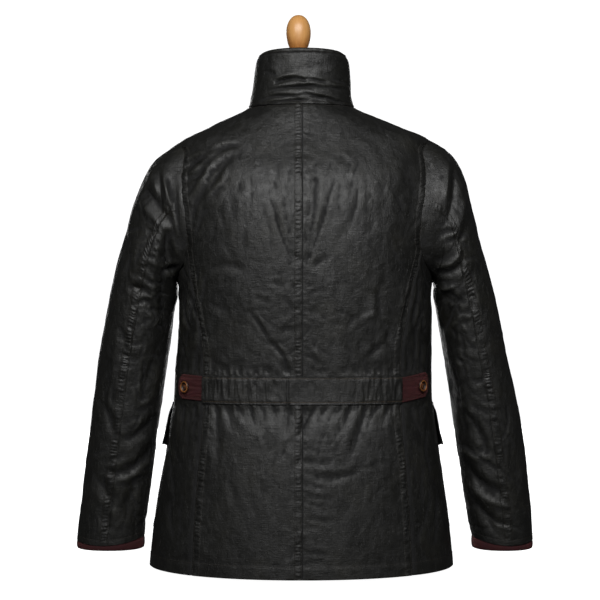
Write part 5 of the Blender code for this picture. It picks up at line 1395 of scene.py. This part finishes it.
# ---- sleeves and cuffs ----
def build_sleeve(side, part):
    """One half of a sleeve, from the front seam over the outside to the back seam, or under and back."""
    cloth = settings()[0]
    name, seed = "sleeve_%s_%s" % (part, side), {"left": 240, "right": 270}[side]
    upper = part == "upper"
    fine = np.linspace(-90, 90, 200) if upper else np.linspace(90, 270, 200)
    steps = np.concatenate([np.linspace(0, 1, 16)[:-1], np.linspace(1, SLEEVE_END, 240)])
    columns = graded_places(SLEEVE_ROUND, cloth.mesh_step, cloth.mesh_step * 2.2)
    if not upper:
        columns = SLEEVE_ROUND - columns[::-1]
    turn = np.array([row_places(line_run(plain_sleeve(fine, step, side)), fine, columns, SLEEVE_ROUND)
                     for step in steps])
    step = np.broadcast_to(steps[:, None], turn.shape)
    plain, way = plain_sleeve(turn, step, side), sleeve_way(turn, step, side)
    arcs, up = arc_lengths(plain, 1), arc_lengths(plain, 0)
    aways = (arcs[:, -1:] - arcs, arcs)
    behind, before = aways if upper else aways[::-1]
    along = up[:, -1:] if upper else up[:, :1]
    height = (sleeve_height(plain, turn, step, side)
              + seam_height(behind, along, seed, 1.2) * ramp(step, 0.3, 1.5)
              * (1 - 0.6 * ramp(step, 10.5, 12.0))
              + 0.5 * seam_height(before, along, seed + 5)
              + seam_height(up, arcs, seed + 11, 0.8) * ramp(step, 0.0, 0.15)
              - 0.0004 * bell(up[-1:] - up - SLEEVE_STITCH, 0.0012)
              + armhole_raise(armhole_level(turn)) * ramp(turned(turn)[1], 0.0, 0.25)
              * (1 - ramp(step, 0.0, 1.0)))
    outer = inset(plain + way * height[..., None])
    piece = add_shell(name, outer, way, cloth.wall, material(WAXED), height=height)
    finish_cloth(piece, "waxed_cotton", plain)
    lines = edge_lines(outer, way, across=(-SLEEVE_STITCH,))
    if upper:
        rows = steps > 0.5
        lines += add_seam_strip("sleeve_seam_" + side, outer[rows], way[rows], seed + 21, True, 0.75,
                                WIDE_STRIP)
    add_stitches("stitches_" + name, lines)


def build_cuff(side):
    """The needlecord band inside the sleeve's end, which shows below it."""
    cloth, trim, _ = settings()
    turn = np.linspace(0, 360, 180, endpoint=False)
    hem = plain_sleeve(turn, SLEEVE_END, side)
    inward = -sleeve_way(turn, SLEEVE_END - 0.1, side)
    inward[:, 2] = 0
    inward = unit(inward)
    deep = inward * (cloth.wall + LIE)
    hidden, turned_in = plain_sleeve(turn, CUFF_TOP_STEP, side) + deep * 1.15, hem + deep
    turned_in[:, 2] = hem[:, 2] - SEAM
    lip = hem + inward * cloth.wall * 0.35
    lip[:, 2] = hem[:, 2] - trim.wall
    low = lip + inward * 0.0003
    low[:, 2] = CUFF_LOW
    shown = [lip + (low - lip) * share - inward * 0.0010 * math.sin(math.pi * share) ** 0.6
             for share in np.linspace(0, 1, 9)]
    outer = np.stack([hidden, turned_in] + shown)
    way = np.broadcast_to(-inward, outer.shape).copy()
    piece = add_shell("cuff_" + side, outer, way, trim.wall, material(NEEDLECORD), closed=True)
    finish_cloth(piece, "needlecord",
                 np.append(outer, outer[:, :1], axis=1))


# ---- pieces on the body ----
def add_laid(name, around, level, lift, made=WAXED, ease=1.0):
    """A piece of cloth whose underside is a lift away from the cloth of the body."""
    cloth, trim, _ = settings()
    wall, slot = (trim.wall, "needlecord") if made == NEEDLECORD else (cloth.wall, "waxed_cotton")
    outer, way = body_out(around, level, lift + wall), body_way(around, level)
    piece = add_shell(name, outer, way, wall, material(made))
    finish_cloth(piece, slot, plain_body(around, level), ease)
    return outer, way


def build_band():
    """The waist band, ruched by its elastic but for a flat stretch by the centre."""
    x, level = np.meshgrid(np.linspace(-BAND_END, BAND_END, 230),
                           np.linspace(BAND_LOW + 0.0003, BAND_HIGH - 0.0003, 22))
    around = np.where(x >= 0, *(degrees_at(x, BAND_MIDDLE, side, 1) for side in SIDES))
    flat = 1 - 0.85 * np.exp(-((x - BAND_FLAT_MIDDLE) / BAND_FLAT_HALF) ** 6)
    edge = np.minimum(level - BAND_LOW, BAND_HIGH - level)
    pleats = noise(301, x / 0.0062, level / 0.030, 0.5) + 0.7 * noise(302, x / 0.0034, level / 0.016, 0.5)
    ruche = (flat * (0.5 + 0.5 * pleats) * RUCHE_HEIGHT + 0.0004 * noise(303, x / 0.008, level / 0.012, 0.5))
    lift = (LIE + 0.0004 + np.maximum(ruche, 0) * (0.35 + 0.65 * ramp(edge, 0.001, 0.007))
            - 0.0011 * (bell(x - 0.0222, 0.0016) + 0.7 * bell(x - 0.0330, 0.0016))
            - 0.0004 * bell(edge - 0.0030, 0.0010))
    outer, way = add_laid("waist_band", around, level, lift,
                          ease=1.2)
    add_stitches("stitches_waist_band", edge_lines(outer, way, across=(0.0030, -0.0030)), "thread_tan")


def tab_place(tab, distance, across, side):
    """The place on the body of a point of a tab: straight edges, then a blunt round end."""
    t = np.clip((distance - tab.length) / TAB_BLUNT + 1, 0, 1)
    half = TAB_WIDTH / 2 * np.sqrt(1 - 0.84 * t ** 2.4)
    forward = -1 if side == "left" else 1
    fine = float(degrees_at(tab.start, tab.middle, side, 1)) + forward * np.linspace(0, 70, 400)
    around = np.interp(distance, line_run(plain_body(fine, tab.middle)), fine)
    return around, tab.middle + tab.slope * distance + across * half, half


def build_tab(side):
    tab, wall = TABS[side], settings()[1].wall
    distance, across = np.meshgrid(
        np.concatenate([np.linspace(0, tab.length - TAB_BLUNT, 30),
                        np.linspace(tab.length - TAB_BLUNT, tab.length, 14)[1:]]), np.linspace(-1, 1, 36))
    around, level, half = tab_place(tab, distance, across, side)
    edge = np.minimum(half * (1 - np.abs(across)), tab.length - distance)
    streak = {"left": 0.0016, "right": 0.0008}[side]
    lift = (TAB_LIE - 0.0005 * bell(edge - TAB_STITCH, 0.0010)
            + 0.0003 * noise(311, distance / 0.01, level / 0.01, 0.5)
            + streak * noise(312, distance / 0.030, level / 0.0045, 0.5) * ramp(edge, 0.002, 0.006))
    add_laid("tab_" + side, around, level, lift, NEEDLECORD)
    share, end, lines = 1 - TAB_STITCH / (TAB_WIDTH / 2), tab.length - TAB_STITCH, []
    for distance, across in ((np.linspace(0.001, end, 60), -share), (np.linspace(0.001, end, 60), share),
                             (np.full(30, end), np.linspace(-share, share, 30))):
        around, level, _ = tab_place(tab, distance, across, side)
        lines.append((body_out(around, level, TAB_LIE + wall - 0.0002), body_way(around, level)))
    add_stitches("stitches_tab_" + side, lines, slot="needlecord")


def pocket_depth(u, v):
    """How far the underside of a pocket stands off its front."""
    return LIE + POCKET_PUFF * np.clip(np.sin(np.pi * u) * np.sin(np.pi * v), 0, 1) ** 0.5


def flap_depth(u, v):
    """How far the underside of a flap stands off: over the pocket, then kicked away at its lower edge."""
    level = FLAP_HIGH + (FLAP_LOW - FLAP_HIGH) * v
    pocket_v = np.clip((level - POCKET_LOW) / (POCKET_HIGH - POCKET_LOW), 0, 1)
    return LIE + ramp(v, 0.02, 0.26) * (pocket_depth(u, pocket_v) + 0.0016 + LIE) + FLAP_KICK * v ** 2


def patch_grid(rows, width, height):
    """Shares across and up a patch, and how far each point is from the patch's edge."""
    u, v = np.meshgrid(np.linspace(0, 1, 40), np.linspace(0, 1, rows))
    return u, v, np.minimum(np.minimum(u, 1 - u) * width, np.minimum(v, 1 - v) * height)


def build_pocket(side):
    """A patch pocket, puffed out, with a pointed flap that kicks away from it."""
    first, last = POCKET_AROUND
    u, v, edge = patch_grid(48, 0.17, 0.19)
    waves = (0.0006 * noise(321, u / 0.07, v / 0.06, 0.5) * bell(edge, 0.012)
             - 0.0003 * bell(edge - 0.004, 0.001))
    outer, way = add_laid("pocket_" + side, mirror(first + (last - first) * u, side),
                          POCKET_LOW + (POCKET_HIGH - POCKET_LOW) * v,
                          pocket_depth(u, v) + np.maximum(waves, -0.0003))
    add_stitches("stitches_pocket_" + side, edge_lines(outer, way, (0.004, -0.004), (0.004, 0.010)))
    u, v, edge = patch_grid(24, 0.18, 0.075)
    waves = 0.0004 * noise(322, u / 0.08, v / 0.2, 0.5) - 0.0003 * bell(edge - 0.005, 0.001)
    level = FLAP_HIGH + (FLAP_LOW - FLAP_HIGH) * v - FLAP_POINT * np.sin(np.pi * u) ** 2 * v
    outer, way = add_laid("pocket_flap_" + side, mirror(first + 2.5 + (last - first - 4.0) * u, side), level,
                          flap_depth(u, v) + waves)
    add_stitches("stitches_flap_" + side, edge_lines(outer, way, (0.005, -0.005), (-0.005, 0.004)))


# ---- hard trim ----
def place_of(node):
    """The middle of a flat turned solid, and the way it faces: its largest face's normal, pointing out."""
    low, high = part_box(node)
    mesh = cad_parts[node].data
    way = np.array(max(mesh.polygons, key=lambda face: face.area).normal)
    out = np.mean([vertex.co for vertex in mesh.vertices], axis=0) - MIDDLE
    return np.array((low + high) / 2) - MIDDLE, way if way[:2] @ out[:2] > 0 else -way


def build_tab_button(side):
    """A dished horn button with an amber rim and a cross of thread; its four holes are not cut."""
    node = "tab_button_" + side
    middle, way = place_of(node)
    r, t = 0.0100, 0.0042
    foot = middle - way * t / 2
    dish = [(0, 0), (r * 0.74, 0), (r * 0.94, t * 0.28), (r * 0.99, t * 0.55), (r * 0.95, t * 0.80),
            (r * 0.80, t * 0.80), (r * 0.62, t * 0.40), (r * 0.54, t * 0.22), (0, t * 0.20)]
    boss = [(0, t * 0.18), (r * 0.34, t * 0.18), (r * 0.33, t * 0.50), (r * 0.24, t * 0.60), (0, t * 0.60)]
    dished = add_lathe("tab_button_dish_" + side, dish, 56, material("horn_dark"), foot, way)
    finish_hard(dished, "horn", node)
    side_way = unit(np.cross(way, np.array([0.0, 0.0, 1.0])))
    up_way = np.cross(side_way, way)
    around, tube = 64, 10
    points, faces = [], []
    for k in range(around):
        cosine, sine = turned(360 * k / around)
        out = side_way * cosine + up_way * sine
        for m in range(tube):
            cosine, sine = turned(360 * m / tube)
            points.append(foot + out * (r * 0.80 + r * 0.095 * cosine) + way * (t * 0.80 + t * 0.16 * sine))
        faces += ring_faces(k * tube, (k + 1) % around * tube, tube)
    finish_hard(new_object("tab_button_rim_" + side, points, faces, material("horn_amber")), "horn")
    finish_hard(add_lathe("tab_button_boss_" + side, boss, 40, material("horn_brown"), foot, way), "horn")
    share = np.linspace(-1, 1, 12)[:, None]
    points, faces = [], []
    for sign in (-1, 1):
        for across, other in ((side_way, up_way), (up_way, side_way)):
            line = (foot + other * sign * r * 0.09 + across * share * r * 0.14
                    + way * (t * 0.60 + t * 0.16 * (1 - share ** 2)))
            faces += [[len(points) + index for index in face] for face in stack_faces(len(line), 6)]
            points += tube_points(line, 0.0004, 6)
    finish_hard(new_object("tab_button_thread_" + side, points, faces, material("thread_dark")), "horn")


def tube_points(line, radius, sides):
    """The rings of points of a thin round tube along a line."""
    along = unit(np.gradient(line, axis=0))
    side = unit(np.cross(along, np.array([0.31, 0.77, 0.55])))
    up = np.cross(along, side)
    cosine, sine = turned(np.linspace(0, 360, sides, endpoint=False))
    return [point + radius * (side[k] * cosine[m] + up[k] * sine[m])
            for k, point in enumerate(line) for m in range(sides)]


def build_stud(node, name):
    """A domed press stud with a rolled rim."""
    middle, way = place_of(node)
    r, t = 0.0072, 0.0032
    profile = [(0, 0), (r * 0.90, 0), (r * 0.99, t * 0.20), (r, t * 0.42), (r * 0.95, t * 0.62),
               (r * 0.84, t * 0.66), (r * 0.76, t * 0.56), (r * 0.66, t * 0.60), (r * 0.50, t * 0.80),
               (r * 0.30, t * 0.94), (r * 0.12, t * 0.99), (0, t)]
    stud = add_lathe(name, profile, 48, material("brass_stamped_aged"), middle - way * t / 2, way)
    finish_hard(stud, "brass", node)


# ---- the dress form ----
def torso_ring(level):
    """The dress form's outline at a level."""
    row = {name: float(column(TORSO, name, level)) for name in Torso._fields[1:]}
    around = np.linspace(0, 360, FORM_SIDES, endpoint=False)
    height = level - row["drop"] * np.maximum(0, -turned(around)[1]) ** 2
    return oval(around, row["square"], height, row["half"], row["half"], row["back"], row["front"])


def add_stack(name, rings, made):
    """A solid through a stack of rings, closed at both ends."""
    return new_object(name, np.concatenate(rings), stack_faces(len(rings), len(rings[0])), made, sharp=50.0)


def build_form():
    levels = np.concatenate([np.linspace(TORSO[0].level, 0.68, 60),
                             np.linspace(0.68, TORSO[-1].level, 40)[1:]])
    body = add_stack("form_body_jersey", [torso_ring(level) for level in levels],
                     material("jersey_knitted_black"))
    finish_hard(body, "jersey", "form_body")
    low, high, rings = 0.8224, 0.836, []
    for scale, height in ((0.975, low), (0.995, low + 0.001), (1.0, low + 0.0025), (1.0, high - 0.005),
                          (0.985, high - 0.0028), (0.955, high - 0.001), (0.91, high - 0.0002), (0.84, high)):
        rings.append(torso_ring(TORSO[-1].level) * scale)
        rings[-1][:, 2] = height
    finish_hard(add_stack("form_neck_cap_turned", rings, material(BEECH)), "beech", "form_neck_cap")
    knob = add_lathe("form_knob_turned", knob_profile(), 72, material(BEECH), (0.0058, 0.0, 0.0))
    finish_hard(knob, "beech", "form_knob")
    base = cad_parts["form_base"].data.materials
    base.clear()
    base.append(material(BEECH))


def knob_profile():
    """An egg on a short flared stem."""
    foot, top, widest, stem = 0.8364, 0.913, 0.0207, 0.0105
    profile = [(0, foot), (stem * 1.45, foot), (stem * 1.5, foot + 0.0006), (stem * 1.35, foot + 0.0022),
               (stem * 1.15, foot + 0.004), (stem * 1.02, foot + 0.007)]
    low = foot + 0.010
    for k in range(1, 40):
        angle = math.pi * k / 40
        lift = (1 - math.cos(angle)) / 2
        radius = widest * math.sin(angle) ** 0.9 * (0.86 + 0.30 * lift - 0.12 * lift * lift) / 0.995
        height = low + (top - low) * lift
        profile.append((max(radius, stem * 0.97) if height < low + 0.012 else radius, height))
    return profile + [(0, top)]


# ---- the studio ----
def add_light(name, place, size, power):
    """A soft rectangular light that shines on the middle of the jacket."""
    data = bpy.data.lights.new(name, "AREA")
    data.shape = "RECTANGLE"
    data.size, data.size_y = size
    data.energy = power
    lamp = bpy.data.objects.new(name, data)
    lamp.location = place
    target = Vector(MIDDLE) + Vector((0, 0, 0.45))
    lamp.rotation_euler = (target - Vector(place)).to_track_quat("-Z", "Y").to_euler()
    bpy.context.scene.collection.objects.link(lamp)


def build_stage(scene):
    """The board, the lights and the camera."""
    studio = settings()[2]
    # a floor that curves up all round into a wall and a ceiling
    reach, bend, height = 5.5, 1.5, 6.5
    profile = [(0.0, 0.0)]
    for way, middle in ((-1, bend), (1, height - bend)):
        for angle in np.linspace(0, math.pi / 2, 10)[::way]:
            profile.append((reach - bend + bend * math.cos(angle), middle + way * bend * math.sin(angle)))
    profile.append((0.0, height))
    floor = add_lathe("studio_floor", profile, 40, material("studio_board_painted"), (0, 0, -0.0002),
                      sharp=80.0)
    # a black cloth mirrors what is round it, so the board is left out of what it mirrors
    floor.visible_diffuse = floor.visible_glossy = False

    add_light("key", (0.04, 2.2, 1.90), (2.8, 1.1), studio.key_power)
    add_light("fill_front", (0.1, 2.9, 0.7), (1.6, 1.2), studio.fill_power)
    # the chest side has its own soft light, low enough to leave the shoulders alone
    add_light("fill_chest", (0.2, -2.6, 0.75), (2.4, 1.4), studio.chest_power)

    scene.world = bpy.data.worlds.new("studio_world")
    scene.world.use_nodes = True
    background = scene.world.node_tree.nodes["Background"]
    background.inputs["Color"].default_value = (1.0, 1.0, 1.0, 1.0)
    background.inputs["Strength"].default_value = studio.room

    data = bpy.data.cameras.new("camera")
    data.sensor_width = 36.0
    data.lens = data.sensor_width * studio.distance / FRAME_WIDTH
    data.clip_end = 50.0
    camera = bpy.data.objects.new("camera", data)
    camera.location = (MIDDLE[0] + 0.0033, MIDDLE[1] + studio.distance, CAMERA_HEIGHT)
    camera.rotation_euler = (math.radians(90), 0, math.radians(180))
    scene.collection.objects.link(camera)
    scene.camera = camera
    scene.view_settings.view_transform = "Standard"


# ---- operators ----
class JACKET_OT_backs(bpy.types.Operator):
    """Makes the two back panels and the two side-back panels"""

    bl_idname = "jacket.backs"
    bl_label = "Back and Side Panels"

    def execute(self, context):
        for side in SIDES:
            build_back(side)
            build_side(side)
        return {"FINISHED"}


class JACKET_OT_fronts(bpy.types.Operator):
    """Makes the two fronts and the fly over their opening"""

    bl_idname = "jacket.fronts"
    bl_label = "Fronts and Fly"

    def execute(self, context):
        for side in SIDES:
            build_front(side)
        build_fly()
        return {"FINISHED"}


class JACKET_OT_collar(bpy.types.Operator):
    """Makes the stand collar with its bound edge"""

    bl_idname = "jacket.collar"
    bl_label = "Collar"

    def execute(self, context):
        build_collar()
        return {"FINISHED"}


class JACKET_OT_sleeves(bpy.types.Operator):
    """Makes the upper and under halves of both sleeves"""

    bl_idname = "jacket.sleeves"
    bl_label = "Sleeves"

    def execute(self, context):
        for side in SIDES:
            build_sleeve(side, "upper")
            build_sleeve(side, "under")
        return {"FINISHED"}


class JACKET_OT_cuffs(bpy.types.Operator):
    """Makes the needlecord bands at the sleeve ends"""

    bl_idname = "jacket.cuffs"
    bl_label = "Cuffs"

    def execute(self, context):
        for side in SIDES:
            build_cuff(side)
        return {"FINISHED"}


class JACKET_OT_waist(bpy.types.Operator):
    """Makes the ruched waist band and its needlecord tabs"""

    bl_idname = "jacket.waist"
    bl_label = "Waist Band and Tabs"

    def execute(self, context):
        build_band()
        for side in SIDES:
            build_tab(side)
        return {"FINISHED"}


class JACKET_OT_pockets(bpy.types.Operator):
    """Makes the patch pockets and their flaps"""

    bl_idname = "jacket.pockets"
    bl_label = "Pockets"

    def execute(self, context):
        for side in SIDES:
            build_pocket(side)
        return {"FINISHED"}


class JACKET_OT_trim(bpy.types.Operator):
    """Makes the horn buttons of the tabs and the brass studs"""

    bl_idname = "jacket.trim"
    bl_label = "Buttons and Studs"

    def execute(self, context):
        for side in SIDES:
            build_tab_button(side)
            build_stud("pocket_stud_" + side, "pocket_stud_domed_" + side)
        for number in range(1, 6):
            build_stud("fly_stud_%d" % number, "fly_stud_domed_%d" % number)
        return {"FINISHED"}


class JACKET_OT_form(bpy.types.Operator):
    """Makes the dress form, its neck cap and its knob"""

    bl_idname = "jacket.form"
    bl_label = "Dress Form"

    def execute(self, context):
        build_form()
        return {"FINISHED"}


class JACKET_OT_stage(bpy.types.Operator):
    """Makes the pale floor and backdrop, the soft lights and the camera"""

    bl_idname = "jacket.stage"
    bl_label = "Studio"

    def execute(self, context):
        build_stage(context.scene)
        return {"FINISHED"}


class JACKET_PT_panel(bpy.types.Panel):
    """Lists the jacket's pieces and its settings"""

    bl_idname = "JACKET_PT_panel"
    bl_label = "Waxed Cotton Jacket"
    bl_space_type = "VIEW_3D"
    bl_region_type = "UI"
    bl_category = "Jacket"

    def draw(self, context):
        for group in (context.scene.jacket_cloth, context.scene.jacket_trim, context.scene.jacket_stage):
            for name in group.__annotations__:
                self.layout.prop(group, name)
        for operator in OPERATORS:
            self.layout.operator(operator.bl_idname)


GROUPS = {"jacket_cloth": ClothSettings, "jacket_trim": TrimSettings, "jacket_stage": StageSettings}
OPERATORS = (JACKET_OT_stage, JACKET_OT_backs, JACKET_OT_fronts, JACKET_OT_collar, JACKET_OT_sleeves,
             JACKET_OT_cuffs, JACKET_OT_waist, JACKET_OT_pockets, JACKET_OT_trim, JACKET_OT_form)


def register():
    for name, group in GROUPS.items():
        bpy.utils.register_class(group)
        setattr(bpy.types.Scene, name, PointerProperty(type=group))
    for item in OPERATORS + (JACKET_PT_panel,):
        bpy.utils.register_class(item)


def unregister():
    for item in (JACKET_PT_panel,) + OPERATORS[::-1]:
        bpy.utils.unregister_class(item)
    for name, group in GROUPS.items():
        delattr(bpy.types.Scene, name)
        bpy.utils.unregister_class(group)


def main():
    register()
    for operator in OPERATORS:
        getattr(bpy.ops.jacket, operator.bl_idname.removeprefix("jacket."))()


if __name__ == "__main__":
    main()
